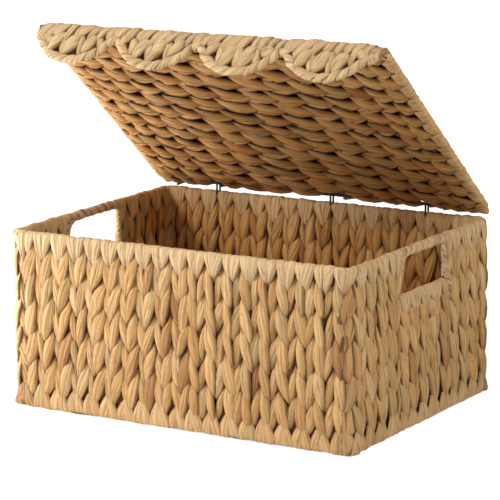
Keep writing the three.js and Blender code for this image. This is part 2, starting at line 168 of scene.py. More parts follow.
# Folded strands: share of the drop and distance from the rail, from the tip up, and the turn on the rail
FOLD_LEG = (1, 0.6 * MM), (0.9, 1.7 * MM), (0.68, 3 * MM), (0.42, 3.7 * MM), (0.18, 3.5 * MM)
FOLD_DROP_SHARES = 1, 0.94, 1.05
FOLD_RADIUS, FOLD_THICKNESS, FOLD_TOP_THICKNESS = 3.15 * MM, 4.4 * MM, 2.7 * MM
FOLD_TOP_WIDTH_SHARE, FOLD_THINNING, FOLD_SOFTNESS = 1.04, 2.6, 0.8

# Drop, width, shear, whether it folds under a rail, and taper
RIM_FOLD = 29 * MM, 14.6 * MM, 4.8 * MM, False, 1.5
FOOT_FOLD = 27 * MM, 16.4 * MM, 5.5 * MM, True, 1.9
RIGHT_FOLD = 18 * MM, 14 * MM, 3.4 * MM, False, 1.8
LEFT_FOLD = 20 * MM, 14 * MM, 3.4 * MM, True, 1.9

# Walls: the front and back, then the ends, and the bleach of their rim folds in order round the box. The
# bleach is partly real paleness and partly painted shade, least on the back, whose folds face the shaded
# inside.
WALL_COLUMNS = 38, 26
RIM_BLEACH_AND_SHADE = {"front": 1.0, "right": 0.8, "back": 0.35, "left": 0.6}
RIM_FOLD_DEPTH = 4.65 * MM
FRONT_TURN_COLUMN = 20
CORNER_CROWDING = 2.6 * MM
CORNER_LEAD = 1 * MM
CORNER_BREADTH, RIGHT_CORNER_BREADTH = 1.12, 1.3
FOOT_SHIFT = 5.5 * MM
SLOT_EDGE = 54 * MM
SLOT_EASE = 14 * MM
SLOT_MOVES = {1: (6 * MM, 4.5 * MM), 3: (-4.5 * MM, -2 * MM)}
SLOT_WIRES = 4
SLOT_FLOOR_DROP = 0.65 * MM
SLOT_BREADTH = 1.08
RING_ROOM, RING_MOVE, RING_BREADTH = 8 * MM, 0.7 * MM, 0.96

# Floor
FLOOR_COLUMNS = 26
FLOOR_MARGIN = 6 * MM
FLOOR_OVERLAP = 2 * MM
FLOOR_HEIGHT = 6.8 * MM
FLOOR_BREADTH = 1.03

# Lid: rows run from back to front along the wires, and columns from left to right
LID_COLUMNS, LID_ROWS = 27, 14
LID_SPACING = 2 * LID_RAIL_X / LID_ROWS
LID_CROWDING = 0.26
LID_BACK, LID_FRONT = -2.3 * MM, -LID_DEPTH + 9 * MM
LID_EDGE = 3.8 * MM
LID_RING_ROOM = 4 * MM
LID_LEAF_ROOM = 8 * MM
LID_LEAF_LENGTH = 50 * MM
# A length of the lid's strand: thickness, bulge over a wire, and dips at its two ends
LID_LEAF = 8.4 * MM, 4 * MM, (5.6 * MM, 7.4 * MM)
LID_BREADTHS, LID_BACK_BREADTH = (1.16, 0.86), 0.9
LID_EDGE_RISE = -1.2
# Places along the lid at which the crowding of its strands is worked backwards
RULER_MARKS = 400

# Lip: its scalloped outline, and the strands on it
SCALLOPS = 4
LIP_DROP, LIP_VALLEY, VALLEY_RADIUS = 48.5 * MM, 20.5 * MM, 5 * MM
LIP_LEFT_INSET, LIP_RIGHT_INSET, LIP_TAIL = 11 * MM, 4 * MM, 10 * MM
FIRST_SCALLOP_LOSS, LIP_END_BEND = 5 * MM, 9 * MM
SCALLOP_STEPS, VALLEY_STEPS, END_STEPS = 14, 6, 5
BINDING = 8 * MM
LIP_MIDDLE = LID_DEPTH + 0.25 * MM
LIP_LEAF_LENGTH = 32 * MM
# A length of the lip's strand: width, thickness, bulge, and dips at its two ends
LIP_LEAF = 14 * MM, 8 * MM, 1.8 * MM, (0.5 * MM, 2 * MM)
LIP_CORE = 12.4 * MM, 1.6 * MM
LIP_LEFT_ROOM, LIP_RIGHT_ROOM = 6 * MM, 13 * MM
LIP_LEANS, LIP_BREADTHS = (-0.45, 1.05), (0.88, 1.0)
LIP_FOOT, LIP_TOP = -2 * MM, -3 * MM
LIP_FIRST_ROW, LIP_ROW_LIMITS = -17 * MM, (-13 * MM, -26 * MM)

# The strands folded over the lid's front rail. On the lip's face a point has its share of the drop and
# how far it stands out, and on the lid its share of the reach and how high it lies
HEM_WIDTH, HEM_BEND, HEM_PITCH, HEM_RADIUS = 13 * MM, 11.5 * MM, 10.4 * MM, 3.5 * MM
HEM_BREADTHS, HEM_BREADTH, HEM_RISE = (0.75, 1.6), 1.05, 2.4 * MM
HEM_LENGTHS, HEM_END_LENGTH, HEM_END_ROOM = (0.9, 1.15), 0.6, 5 * MM
HEM_END_INSET, HEM_LOW = 0.5 * MM, -6 * MM
HEM_DROPS, HEM_SLANTS = (17 * MM, 14 * MM, 19 * MM), (6.5 * MM, 3 * MM, 9 * MM)
HEM_FACE = (1, 1.6 * MM), (0.86, 3.2 * MM), (0.6, 4.4 * MM), (0.25, 4.2 * MM)
HEM_BACK = (0.3, 3.5 * MM), (0.6, 3.2 * MM), (0.85, 2 * MM), (1, 0.4 * MM)
HEM_BACK_REACH, HEM_TURN_SLANT, HEM_BACK_SLANT = 16 * MM, 0.2, 0.5
HEM_FACE_THICKNESS, HEM_BACK_THICKNESS = 5 * MM, 3 * MM
HEM_TURN_WIDTH_SHARE, HEM_TAPER, HEM_BLUNTNESS = 0.98, 2.6, 0.6

# Wound strand: half its turns' height and depth, and the strand's width, thickness and slope.
# The turns round a slot's bar take their height and depth from the bar
LIP_TURN = 3.8 * MM, 2.8 * MM, 16 * MM, 3.2 * MM, 1.0
KNOT_TURN = 2.4 * MM, 2.4 * MM, 8 * MM, 3 * MM, 0.9
CORD_TURN = 2.6 * MM, 2.6 * MM, 8 * MM, 2.4 * MM, 0.9
BAR_TURN = 15 * MM, 2.6 * MM, 0.5
BAR_INSET = 1.3 * MM

# How far apart the turns of each wound strand are, and its seed
WINDINGS = {
    "binding": (12.4 * MM, 31),
    "knot": (4.2 * MM, 37),
    "bar": (12 * MM, 41),
    "cord": (5.6 * MM, 47),
    "arch": (5.2 * MM, 53),
    "tip": (4.6 * MM, 57),
}

# Where wound strands lie: in front of the lip, round the knot, and along the slots. The cord's tip
# bends by this much outward, back and up from the slot's lower corner
BINDING_LEAD, BINDING_START_DROP = 1.6 * MM, 7 * MM
KNOT_RADIUS = 3.4 * MM
KNOT_PLACE = -4 * MM, -2.5 * MM, -11 * MM
BAR_OVERLAP, CORD_LEAD = 2 * MM, 1.6 * MM
CORD_BELOW_SLOT, CORD_BELOW_BAR = 9 * MM, 2 * MM
TIP_BENDS = (
    (3.4 * MM, 6.2 * MM, -9 * MM),
    (3.6 * MM, 5 * MM, -4 * MM),
    (3.4 * MM, 4 * MM, 0),
    (3 * MM, 3.2 * MM, 4 * MM),
    (2.2 * MM, 2.6 * MM, 8 * MM),
    (0.8 * MM, 2 * MM, 13 * MM),
)
ARCH_REACHES, ARCH_BELOW_BAR = (12 * MM, 19 * MM), 2.6 * MM
ARCH_WIDTH_SHARES = {-1: 1, 1: 0.4}

# What every weave is given, and what some weaves have instead
# Outer shade and Inner shade are shares of painted shade, for the sides that lie in the box's shade
WEAVE = {
    "Row spacing": WIRE_Z[1] - WIRE_Z[0],
    "Depth": 1.0,
    "Lead": 0.9 * MM,
    "Inner lift": 0.0,
    "Inner bulk": 1.0,
    "Bleach": 0.0,
    "Fold bleach": 1.0,
    "Outer shade": 0.0,
    "Inner shade": 1.0,
}
WALL_WEAVE = {"Inner lift": 1 * MM}
FLOOR_WEAVE = {
    "Row spacing": FLOOR_WIRE_X[1] - FLOOR_WIRE_X[0],
    "Depth": 0.8,
    "Outer shade": 0.8,
    "Inner shade": 0.0,
}
LID_WEAVE = {
    "Row spacing": LID_SPACING,
    "Leaf length": LID_LEAF_LENGTH,
    "Lean": math.radians(16),
    "Depth": 0.92,
    "Lead": 1.4 * MM,
    "Inner bulk": 0.94,
    "Fold bleach": 0.2,
}
LIP_WEAVE = {
    "Row spacing": -13 * MM,
    "Leaf length": LIP_LEAF_LENGTH,
    "Lean": math.radians(32),
    "Lead": 1.4 * MM,
    "Inner bulk": 0.15,
    "Bleach": 1.0,
}

# Seeds that keep the draws of the weaves apart, and the step between the draws of one weave
SEEDS = {"front": 0, "right": 103, "back": 206, "left": 309, "floor": 601, "lid": 811, "lip": 977}
DRAW_STEP = 17.0

# Tints in red, green and blue: painted shade for the sides that lie in the box's shade, between fibres, of
# the floor and of the sky
SHADE_TINT, GAP_TINT = (0.9, 0.78, 0.58, 1), (0.7, 0.58, 0.44, 1)
FLOOR_TINT, SKY_TINT, WHITE = (0.8, 0.8, 0.8, 1), (1, 0.96, 0.89, 1), (1, 1, 1, 1)

# Each tone's place on the ramp, from the darkest, as a share of all strands
TONES = (
    (0, "brown"), (0.01, "brown"), (0.03, "amber"), (0.07, "amber"), (0.14, "tan"), (0.22, "grey"),
    (0.3, "grey"), (0.38, "tan"), (0.55, "straw"), (0.8, "straw"), (1, "pale"),
)

# Stage, in metres. The floor glows less near the box. A lamp has its place, the spot that it faces if
# that isn't the box's middle, and its size
FLOOR_HALF, FLOOR_GAP = 6, 0.6 * MM
GLOW_REACH, GLOW_LEVELS = (0.5, 1.6), (0.72, 1.0)
LAMPS = {
    "Key": ((-0.95, -1.0, 1.15), None, 0.45),
    "Side": ((-0.85, -0.45, 0.09), None, 0.3),
    "Ground": ((-0.47, -0.2, 0.02), (-0.47, -0.2, 1), 0.3),
    "Fill": ((1.7, -0.8, 1.4), None, 0.6),
}
SENSOR_WIDTH, CLIP = 36, (0.1, 50)


def a_length(name, description, default):
    return FloatProperty(name=name, description=description, default=default, unit="LENGTH", precision=4)


def an_angle(name, description, degrees):
    turn = math.radians(degrees)
    return FloatProperty(name=name, description=description, default=turn, unit="ROTATION")


def a_power(name, description, default):
    return FloatProperty(name=name, description=description, default=default, unit="POWER")


def a_colour(name, description, *chart):
    """A colour read off a paint chart, kept in the light values that shaders use."""
    parts = [value / 255 for value in chart]
    default = [p / 12.92 if p <= 0.04045 else ((p + 0.055) / 1.055) ** 2.4 for p in parts]
    return FloatVectorProperty(
        name=name, description=description, default=default, subtype="COLOR", min=0, max=1
    )


class WovenStrands(bpy.types.PropertyGroup):
    width: a_length("Width", "Width of a strand where it bulges over a wire", 14.3 * MM)
    reach: a_length("Length", "Length of the part of a strand that shows between two crossings", 54 * MM)
    thickness: a_length("Thickness", "Thickness of a strand at its middle", 6.2 * MM)
    lean: an_angle("Lean", "Lean of a strand from its column", 12)
    uneven: FloatProperty(
        name="Unevenness", description="How much strands differ from each other", default=1, min=0, max=2
    )
    seed: IntProperty(name="Seed", description="Changes which strand differs how", default=7)


class WovenColours(bpy.types.PropertyGroup):
    pale: a_colour("Pale straw", "Lightest strands", 242, 205, 150)
    straw: a_colour("Straw", "Most strands", 236, 191, 130)
    tan: a_colour("Tan", "Slightly darker strands", 226, 178, 116)
    amber: a_colour("Amber", "Orange-brown strands", 216, 166, 106)
    grey: a_colour("Grey", "Weathered strands", 216, 182, 126)
    brown: a_colour("Brown", "Few dark strands", 186, 134, 82)
    bleached: a_colour("Bleached", "What folded and wound strands are mixed with", 251, 226, 184)
    stain: a_colour("Stain", "Patches on a strand", 178, 122, 68)
    # The crease colour darkens lines along a strand as painted shade in their grooves
    crease: a_colour("Crease", "Lines along a strand", 132, 84, 42)
    # Edges and tips are darkened towards this as painted shade; at the tips it also stands for age
    edge: a_colour("Edge", "Edges and tips of strands", 96, 54, 22)
    # The cores are coloured towards this as painted shade in the gaps between columns
    inner: a_colour("Inner", "Strands inside the wall", 88, 52, 24)
    iron: a_colour("Iron", "Coated frame", 52, 46, 40)
    rust: a_colour("Rust", "Spots on the frame", 98, 62, 40)


class WovenStage(bpy.types.PropertyGroup):
    lens: FloatProperty(name="Lens", description="Focal length", default=191.16, subtype="DISTANCE_CAMERA")
    azimuth: an_angle("Azimuth", "Side from which the box is seen", 31.79)
    elevation: an_angle("Elevation", "Height from which it is seen", 12.13)
    roll: an_angle("Roll", "Turn of the picture", -0.65)
    distance: a_length("Distance", "From the camera to the box", 2.9246)
    target: a_length("Target height", "Height that the camera looks at", 0.15)
    shift: FloatVectorProperty(
        name="Shift", description="Shift of the picture, in its widths", default=(-0.00272, 0.03112), size=2
    )
    key: a_power("Key light", "Light from the front left", 16.5)
    side: a_power("Side light", "Low light from the left", 5.4)
    ground: a_power("Ground light", "Low light on the left that shines up at the lid", 1.9)
    fill: a_power("Fill light", "Light from the right", 18)
    sky: FloatProperty(name="Sky", description="Even light from all round", default=0.22)


class Bench:
    """Adds nodes to a tree and joins them up."""

    # How many nodes are in a row of the editor, and the room for each one
    row, width, height = 9, 200, 300

    def __init__(self, tree):
        self.tree = tree
        self.count = 0

    def add(self, kind, inputs=None, **settings):
        node = self.tree.nodes.new(kind)
        node.location = (self.count % self.row * self.width, -(self.count // self.row) * self.height)
        self.count += 1
        for name, value in settings.items():
            setattr(node, name, value)
        for socket, value in (inputs or {}).items():
            if isinstance(value, bpy.types.NodeSocket):
                self.tree.links.new(value, node.inputs[socket])
            else:
                node.inputs[socket].default_value = value
        return node

    def math(self, operation, *values):
        return self.add("ShaderNodeMath", dict(enumerate(values)), operation=operation).outputs[0]

    def times(self, value, factor, added=None):
        """A value times a factor, plus what is added."""
        if added is None:
            return self.math("MULTIPLY", value, factor)
        return self.math("MULTIPLY_ADD", value, factor, added)

    def vector(self, operation, *values):
        return self.add("ShaderNodeVectorMath", dict(enumerate(values)), operation=operation).outputs[0]

    def scaled(self, vector, share):
        return self.add("ShaderNodeVectorMath", {0: vector, 3: share}, operation="SCALE").outputs[0]

    def combine(self, x=0.0, y=0.0, z=0.0):
        return self.add("ShaderNodeCombineXYZ", {0: x, 1: y, 2: z}).outputs[0]

    def parts(self, vector):
        return self.add("ShaderNodeSeparateXYZ", {0: vector}).outputs

    def ranged(self, value, low, high, to_low, to_high):
        """A value moved from one range to another, and kept inside it."""
        inputs = {0: value, 1: low, 2: high, 3: to_low, 4: to_high}
        return self.add("ShaderNodeMapRange", inputs).outputs[0]

    def noise(self, vector, scale, detail, roughness=0.5):
        inputs = {"Vector": vector, "Scale": scale, "Detail": detail, "Roughness": roughness}
        return self.add("ShaderNodeTexNoise", inputs).outputs

    def mix(self, blend, factor, first, second):
        inputs = {0: factor, 6: first, 7: second}
        return self.add("ShaderNodeMix", inputs, data_type="RGBA", blend_type=blend).outputs[2]

    def surface(self, colour, rough, height, strength, distance, **more):
        """The material's output: a surface with bumps of a height."""
        inputs = {"Strength": strength, "Distance": distance, "Height": height}
        bump = self.add("ShaderNodeBump", inputs).outputs[0]
        inputs = {"Base Color": colour, "Roughness": rough, "Normal": bump, **more}
        shader = self.add("ShaderNodeBsdfPrincipled", inputs).outputs[0]
        self.add("ShaderNodeOutputMaterial", {0: shader})


class GeometryBench(Bench):
    """A geometry tree with named inputs."""

    def __init__(self, name, sockets):
        tree = bpy.data.node_groups.new(name, "GeometryNodeTree")
        tree.is_modifier = True
        super().__init__(tree)
        tree.interface.new_socket("Geometry", in_out="OUTPUT", socket_type="NodeSocketGeometry")
        shared = {"Unevenness": "Float", "Seed": "Int", "Material": "Material"}
        for socket, kind in {"Geometry": "Geometry", **sockets, **shared}.items():
            tree.interface.new_socket(socket, in_out="INPUT", socket_type=f"NodeSocket{kind}")
        self.given = self.add("NodeGroupInput").outputs
        self.draws = 0

    def attribute(self, name, kind="FLOAT"):
        return self.add("GeometryNodeInputNamedAttribute", {"Name": name}, data_type=kind).outputs[0]

    def random(self, low, high):
        """A new even draw for each point, on its own fixed seed."""
        self.draws += 1
        seed = self.math("ADD", self.given["Seed"], DRAW_STEP * self.draws)
        inputs = {2: low, 3: high, 8: seed}
        return self.add("FunctionNodeRandomValue", inputs, data_type="FLOAT").outputs[1]

    def spread(self, reach):
        """A draw either side of nothing, scaled by the unevenness."""
        return self.times(self.random(-reach, reach), self.given["Unevenness"])

    def varied(self, reach, size=1.0):
        """A draw either side of a size."""
        return self.math("ADD", size, self.spread(reach))

    def pick(self, count):
        """A whole number below the count."""
        return self.math("FLOOR", self.random(0.0, count - 0.001))

    def store(self, geometry, name, value):
        inputs = {"Geometry": geometry, "Name": name, "Value": value}
        node = self.add("GeometryNodeStoreNamedAttribute", inputs, data_type="FLOAT", domain="INSTANCE")
        return node.outputs["Geometry"]

    def place(self, points, position=None, offset=None):
        given = {"Geometry": points, "Position": position, "Offset": offset}
        inputs = {name: value for name, value in given.items() if value is not None}
        return self.add("GeometryNodeSetPosition", inputs).outputs[0]

    def repeat(self, points, amount):
        inputs = {"Geometry": points, "Amount": amount}
        node = self.add("GeometryNodeDuplicateElements", inputs, domain="POINT")
        return node.outputs["Geometry"], node.outputs["Duplicate Index"]

    def turned(self, facing, rotation, up=(0.0, 0.0, 1.0)):
        axes = {"Primary Axis": up, "Secondary Axis": facing}
        base = self.add("FunctionNodeAxesToRotation", axes, primary_axis="Z", secondary_axis="Y").outputs[0]
        turn = self.add("FunctionNodeEulerToRotation", {0: rotation}).outputs[0]
        return self.add("FunctionNodeRotateRotation", {0: base, 1: turn}, rotation_space="LOCAL").outputs[0]

    def instances(self, points, shapes, index, rotation, scale, selection=True):
        inputs = {"Collection": shapes, "Separate Children": True, "Reset Children": True}
        kit = self.add("GeometryNodeCollectionInfo", inputs).outputs[0]
        inputs = {"Points": points, "Instance": kit, "Pick Instance": True, "Instance Index": index}
        inputs.update({"Rotation": rotation, "Scale": scale, "Selection": selection})
        return self.add("GeometryNodeInstanceOnPoints", inputs).outputs[0]

    def finish(self, parts):
        """Joins the parts, gives each strand its own tone, and makes them uneven meshes with a material."""
        join = self.add("GeometryNodeJoinGeometry")
        for part in reversed(parts):
            self.tree.links.new(part, join.inputs[0])
        whole = self.store(join.outputs[0], "tone", self.random(0.0, 1.0))
        whole = self.store(whole, "grain", self.random(0.0, 1.0))
        whole = self.add("GeometryNodeRealizeInstances", {0: whole}).outputs[0]
        place = self.add("GeometryNodeInputPosition").outputs[0]
        push = self.noise(place, SURFACE_SCALE, 1.0)["Color"]
        push = self.vector("SUBTRACT", push, (0.5, 0.5, 0.5))
        share = self.times(self.given["Unevenness"], SURFACE_SPREAD)
        whole = self.place(whole, offset=self.scaled(push, share))
        inputs = {"Geometry": whole, "Material": self.given["Material"]}
        whole = self.add("GeometryNodeSetMaterial", inputs).outputs[0]
        self.add("NodeGroupOutput", {0: whole})
        return self.tree


def twined_tree():
    """Columns of leaning strands on both sides of a wall, folded over the rails at its ends.

    The base mesh has one point for each column, with how it faces, leans and ends as attributes.
    """
    found = bpy.data.node_groups.get("Twined strands")
    if found:
        return found
    kits = dict.fromkeys(("Leaves", "High folds", "Low folds", "Cores"), "Collection")
    sizes = "Row spacing", "Leaf length", "Lean", "Depth", "Lead", "Inner lift", "Inner bulk"
    tones = "Bleach", "Fold bleach", "Outer shade", "Inner shade"
    b = GeometryBench("Twined strands", {**kits, **dict.fromkeys(sizes + tones, "Float")})
    given = b.given
    names = "lean", "broad", "rise", "low", "high", "fold_low", "fold_high"
    lean, broad, rise, low, high, fold_low, fold_high = (b.attribute(name) for name in names)
    facing = b.attribute("facing", "FLOAT_VECTOR")
    columns = b.add("GeometryNodeMeshToPoints", {"Mesh": given["Geometry"]}).outputs[0]

    # Leaves: each wire crosses a column once on the outer side and once on the inner side
    leaves, row = b.repeat(columns, b.attribute("rows", "INT"))
    height = b.times(row, given["Row spacing"], b.attribute("first"))
    leaves = b.place(leaves, offset=b.combine(z=height))
    leaves, side = b.repeat(leaves, 2)
    outward = b.scaled(facing, b.times(side, -2.0, 1.0))
    place = b.parts(b.add("GeometryNodeInputPosition").outputs[0])
    half = b.times(given["Leaf length"], 0.5)
    centre = b.math("ADD", place[2], b.spread(SLIDE_SPREAD))
    top = b.math("MINIMUM", b.math("ADD", centre, half), b.times(fold_high, -ROOM_UNDER_FOLD, high))
    bottom = b.math("MAXIMUM", b.math("SUBTRACT", centre, half), b.times(fold_low, ROOM_OVER_FOLD, low))
    share = b.math("DIVIDE", b.math("SUBTRACT", top, bottom), given["Leaf length"])
    centre = b.times(b.math("ADD", top, bottom), 0.5)
    bulk = b.times(side, b.math("SUBTRACT", given["Inner bulk"], 1.0), 1.0)
    lead = b.times(bulk, b.times(rise, given["Lead"], b.spread(LEAD_SPREAD)))
    lead = b.times(side, given["Inner lift"], lead)
    where = b.vector("ADD", b.combine(place[0], place[1], centre), b.scaled(outward, lead))
    angle = b.times(b.times(lean, -1.0), given["Lean"], b.spread(LEAN_SPREAD))
    roll = b.times(lean, ROLL_OF_LEAN, b.spread(ROLL_SPREAD))
    width = b.times(broad, b.times(rise, BREADTH_OF_RISE, b.varied(BREADTH_SPREAD)))
    depth = b.times(b.times(given["Depth"], b.varied(DEPTH_SPREAD)), bulk)
    tall = b.times(share, b.varied(LENGTH_SPREAD))
    rotation = b.turned(outward, b.combine(b.spread(TILT_SPREAD), angle, roll))
    index, scale = b.pick(len(LEAF_HABITS)), b.combine(width, depth, tall)
    leaves = b.instances(b.place(leaves, where), given["Leaves"], index, rotation, scale)
    leaves = b.store(leaves, "bleach", given["Bleach"])
    # Painted shade: each side gets its share of a darker, warmer tint, for the sides that lie in the box's
    # shade
    shade = b.math("SUBTRACT", given["Inner shade"], given["Outer shade"])
    parts = [b.store(leaves, "shade", b.times(side, shade, given["Outer shade"]))]

    # Folds: three that lean one way, and their mirror images
    along = b.vector("CROSS_PRODUCT", facing, (0.0, 0.0, 1.0))
    shifted = b.vector("ADD", b.combine(z=low), b.scaled(along, b.attribute("shift")))
    ends = (
        (b.combine(z=high), given["High folds"], fold_high, 1.0),
        (shifted, given["Low folds"], fold_low, FOOT_FOLD_BLEACH),
    )
    habits = len(FOLD_DROP_SHARES)
    for offset, folds, fold, bleach in ends:
        points = b.place(columns, offset=offset)
        mirrored = b.times(b.math("LESS_THAN", lean, 0.0), float(habits))
        index = b.math("ADD", b.pick(habits), mirrored)
        tall = b.times(fold, b.varied(FOLD_LENGTH_SPREAD))
        scale = b.combine(b.times(broad, b.varied(FOLD_BREADTH_SPREAD)), given["Depth"], tall)
        turn = b.turned(facing, b.combine(0.0, b.spread(TILT_SPREAD), 0.0))
        wraps = b.instances(points, folds, index, turn, scale, b.math("GREATER_THAN", tall, LEAST_FOLD))
        parts.append(b.store(wraps, "bleach", b.times(given["Fold bleach"], bleach)))

    # Cores: plain strands inside the wall, coloured dark by the material as painted shade in the gaps
    points = b.place(columns, offset=b.combine(z=low))
    stretch = b.math("DIVIDE", b.math("SUBTRACT", high, low), CORE_LENGTH)
    turn = b.turned(facing, (0.0, 0.0, 0.0))
    cores = b.instances(points, given["Cores"], 0, turn, b.combine(broad, given["Depth"], stretch))
    parts.append(b.store(cores, "inner", 1.0))
    return b.finish(parts)


def wound_tree():
    """Turns of a flat strand wound closely round a path, slanting as they go."""
    found = bpy.data.node_groups.get("Wound strand")
    if found:
        return found
    b = GeometryBench("Wound strand", {"Turns": "Collection", "Spacing": "Float", "Facing": "Vector"})
    curve = b.add("GeometryNodeMeshToCurve", {0: b.given["Geometry"]}).outputs[0]
    inputs = {"Curve": curve, "Length": b.given["Spacing"]}
    points = b.add("GeometryNodeCurveToPoints", inputs, mode="LENGTH").outputs
    tilt = b.combine(*(b.spread(reach) for reach in TURN_TILT_SPREADS))
    rotation = b.turned(b.given["Facing"], tilt, points["Tangent"])
    scale = b.combine(*(b.varied(reach, size) for size, reach in zip(TURN_SIZES, TURN_SIZE_SPREADS)))
    turns = b.instances(points[0], b.given["Turns"], b.pick(len(TURN_WIDTH_SHARES)), rotation, scale)
    return b.finish([b.store(turns, "bleach", 1.0)])


# Shapes of the strands themselves, each drawn once and then repeated


def full(share, power=2.0, least=0.35):
    """The thickness of a strand, full at its middle and least at its tip."""
    return least + (1 - least) * (1 - abs(share) ** power)


def pointed(share, taper, bluntness):
    """The breadth of a strand, whole at its middle and nothing at its tip."""
    return max(0.0, 1 - abs(share) ** taper) ** bluntness


def arc_points(radius, first, last, step):
    """Points of an arc, between two whole angles in degrees."""
    turns = [math.radians(degrees) for degrees in range(first, last + 1, step)]
    return [(radius * math.cos(turn), radius * math.sin(turn)) for turn in turns]


def strap(name, stations, section, shapes, soft=0.0):
    """A closed strand, pointed at both ends, along stations of (across, out, up, width, thickness)."""
    path = np.array(stations, float)
    along = np.concatenate([[0], np.cumsum(np.linalg.norm(np.diff(path[:, :3], axis=0), axis=1))])
    verts, faces, marks, painted_shade_and_age = [], [], [], []
    count = len(section)
    for k, (x, out, up, width, thickness) in enumerate(stations):
        tip = abs(2 * along[k] / along[-1] - 1)
        if k in (0, len(stations) - 1):
            verts.append((x, out, up))
            painted_shade_and_age.append(TIP_SHADE_AND_AGE)
            continue
        step = path[k + 1, 1:3] - path[k - 1, 1:3]
        step /= np.linalg.norm(step)
        for across, lift in section:
            rise = lift * thickness / 2
            verts.append((x + across * width / 2, out + step[1] * rise, up - step[0] * rise))
            # Painted shade along the edges and the underside, less along a fold's middle; at the tips it also
            # stands for age
            side = max(abs(across), float(lift < 0)) ** 3 * (1 - soft * (1 - tip**2))
            painted_shade_and_age.append(1 - (1 - side) * (1 - TIP_SHADE_AND_AGE * tip**4))

    def add(face, mark):
        faces.append(face)
        marks.append([(u, along[k] / FIBRE_LENGTH) for u, k in mark])

    for j in range(count):
        n, u, v = (j + 1) % count, j / count, (j + 1) / count
        add((0, 1 + j, 1 + n), ((u, 0), (u, 1), (v, 1)))
        for k in range(1, len(stations) - 2):
            a, c = 1 + (k - 1) * count, 1 + k * count
            add((a + j, c + j, c + n, a + n), ((u, k), (u, k + 1), (v, k + 1), (v, k)))
        a, last = 1 + (len(stations) - 3) * count, len(verts) - 1
        add((a + j, last, a + n), ((u, len(stations) - 2), (u, len(stations) - 1), (v, len(stations) - 2)))
    return shape_object(name, verts, faces, marks, painted_shade_and_age, shapes)


def shape_object(name, verts, faces, marks, painted_shade_and_age, shapes):
    """A smooth closed mesh with its own UV map, faces outward, in a collection of shapes."""
    mesh = bpy.data.meshes.new(name)
    mesh.from_pydata([tuple(v) for v in verts], [], [tuple(f) for f in faces])
    uv = mesh.uv_layers.new(name="UVMap")
    uv.data.foreach_set("uv", [c for mark in marks for point in mark for c in point])
    # The edge attribute carries painted shade, with age at the tips, for the material to darken towards
    mesh.attributes.new("edge", "FLOAT", "POINT").data.foreach_set("value", painted_shade_and_age)
    bm = bmesh.new()
    bm.from_mesh(mesh)
    if bm.calc_volume(signed=True) < 0:
        bmesh.ops.reverse_faces(bm, faces=bm.faces)
    bm.to_mesh(mesh)
    bm.free()
    mesh.shade_smooth()
    shapes.objects.link(bpy.data.objects.new(name, mesh))


def leaf_shapes(name, reach, width, thickness, crown=2.3 * MM, dips=(1.4 * MM, 6.2 * MM)):
    """Lens-shaped lengths of strand, each bulging over a wire and dipping at its ends."""
    shapes = bpy.data.collections.new(name)
    for k, (bow, swell, section) in enumerate(LEAF_HABITS):
        stations = []
        for t in LEAF_SHARES:
            wide = width * pointed(t + swell * (1 - t * t), LEAF_TAPER, BLUNTNESS)
            out = max(crown - dips[t > 0] * abs(t) ** LEAF_DIP_CURVE, LEAF_LOWEST)
            stations.append((bow * (1 - t * t), out, t * reach / 2, wide, thickness * full(t)))
        strap(f"{name}_{k}", stations, SECTION_SHARES[section], shapes)
    return shapes


def fold_shapes(name, drop, width, shear, under, taper):
    """Lengths of strand folded over a rail at the top of a wall, or under one at its foot."""
    shapes = bpy.data.collections.new(name)
    habits = len(FOLD_DROP_SHARES)
    for k in range(2 * habits):
        lean = 1 if k < habits else -1
        outer = []
        for share, out in FOLD_LEG:
            wide = width * pointed(share, taper, BLUNTNESS)
            up = -drop * FOLD_DROP_SHARES[k % habits] * share
            outer.append((lean * shear * share, out, up, wide, FOLD_THICKNESS * full(share, FOLD_THINNING)))
        over = [
            (0, out, up, width * FOLD_TOP_WIDTH_SHARE, FOLD_TOP_THICKNESS)
            for out, up in arc_points(FOLD_RADIUS, 0, 180, 36)
        ]
        stations = outer + over + [(-x, -out, *rest) for x, out, *rest in reversed(outer)]
        if under:
            stations = [(-x, -out, -up, *rest) for x, out, up, *rest in stations]
        strap(f"{name}_{k}", stations, SECTION_SHARES[k % habits], shapes, FOLD_SOFTNESS)
    return shapes


def hem_shapes(name, width):
    """Lengths of strand that slant up the lip's face, over the lid's front rail and back on its top."""
    shapes = bpy.data.collections.new(name)
    habits = len(HEM_DROPS)
    for k in range(2 * habits):
        drop, slant = HEM_DROPS[k % habits], HEM_SLANTS[k % habits]
        stations = []
        for share, out in HEM_FACE:
            wide = width * pointed(share, HEM_TAPER, HEM_BLUNTNESS)
            thick = HEM_FACE_THICKNESS * full(share, least=0.5)
            stations.append((slant * share, out, -drop * share, wide, thick))
        turn = arc_points(HEM_RADIUS, 0, 90, 30)
        for n, (out, up) in enumerate(turn):
            x = -HEM_TURN_SLANT * slant * n / (len(turn) - 1)
            stations.append((x, out, up, width * HEM_TURN_WIDTH_SHARE, HEM_BACK_THICKNESS))
        for share, up in HEM_BACK:
            x = -slant * (HEM_TURN_SLANT + HEM_BACK_SLANT * share)
            wide = width * pointed(share, HEM_TAPER, HEM_BLUNTNESS)
            thick = HEM_BACK_THICKNESS * full(share, least=0.5)
            stations.append((x, -HEM_BACK_REACH * share, up, wide, thick))
        strap(f"{name}_{k}", stations, SECTION_SHARES[k % habits], shapes)
    return shapes


def core_shapes(name, width, thickness):
    """A plain strand inside the wall, stretched to the column's length later."""
    shapes = bpy.data.collections.new(name)
    point = CORE_LENGTH / 100
    stations = [(0, 0, 0, 0, 0)]
    stations += [(0, 0, up, width, thickness) for up in (point, CORE_LENGTH - point)]
    stations.append((0, 0, CORE_LENGTH, 0, 0))
    strap(f"{name}_0", stations, SECTION_SHARES[2], shapes)
    return shapes


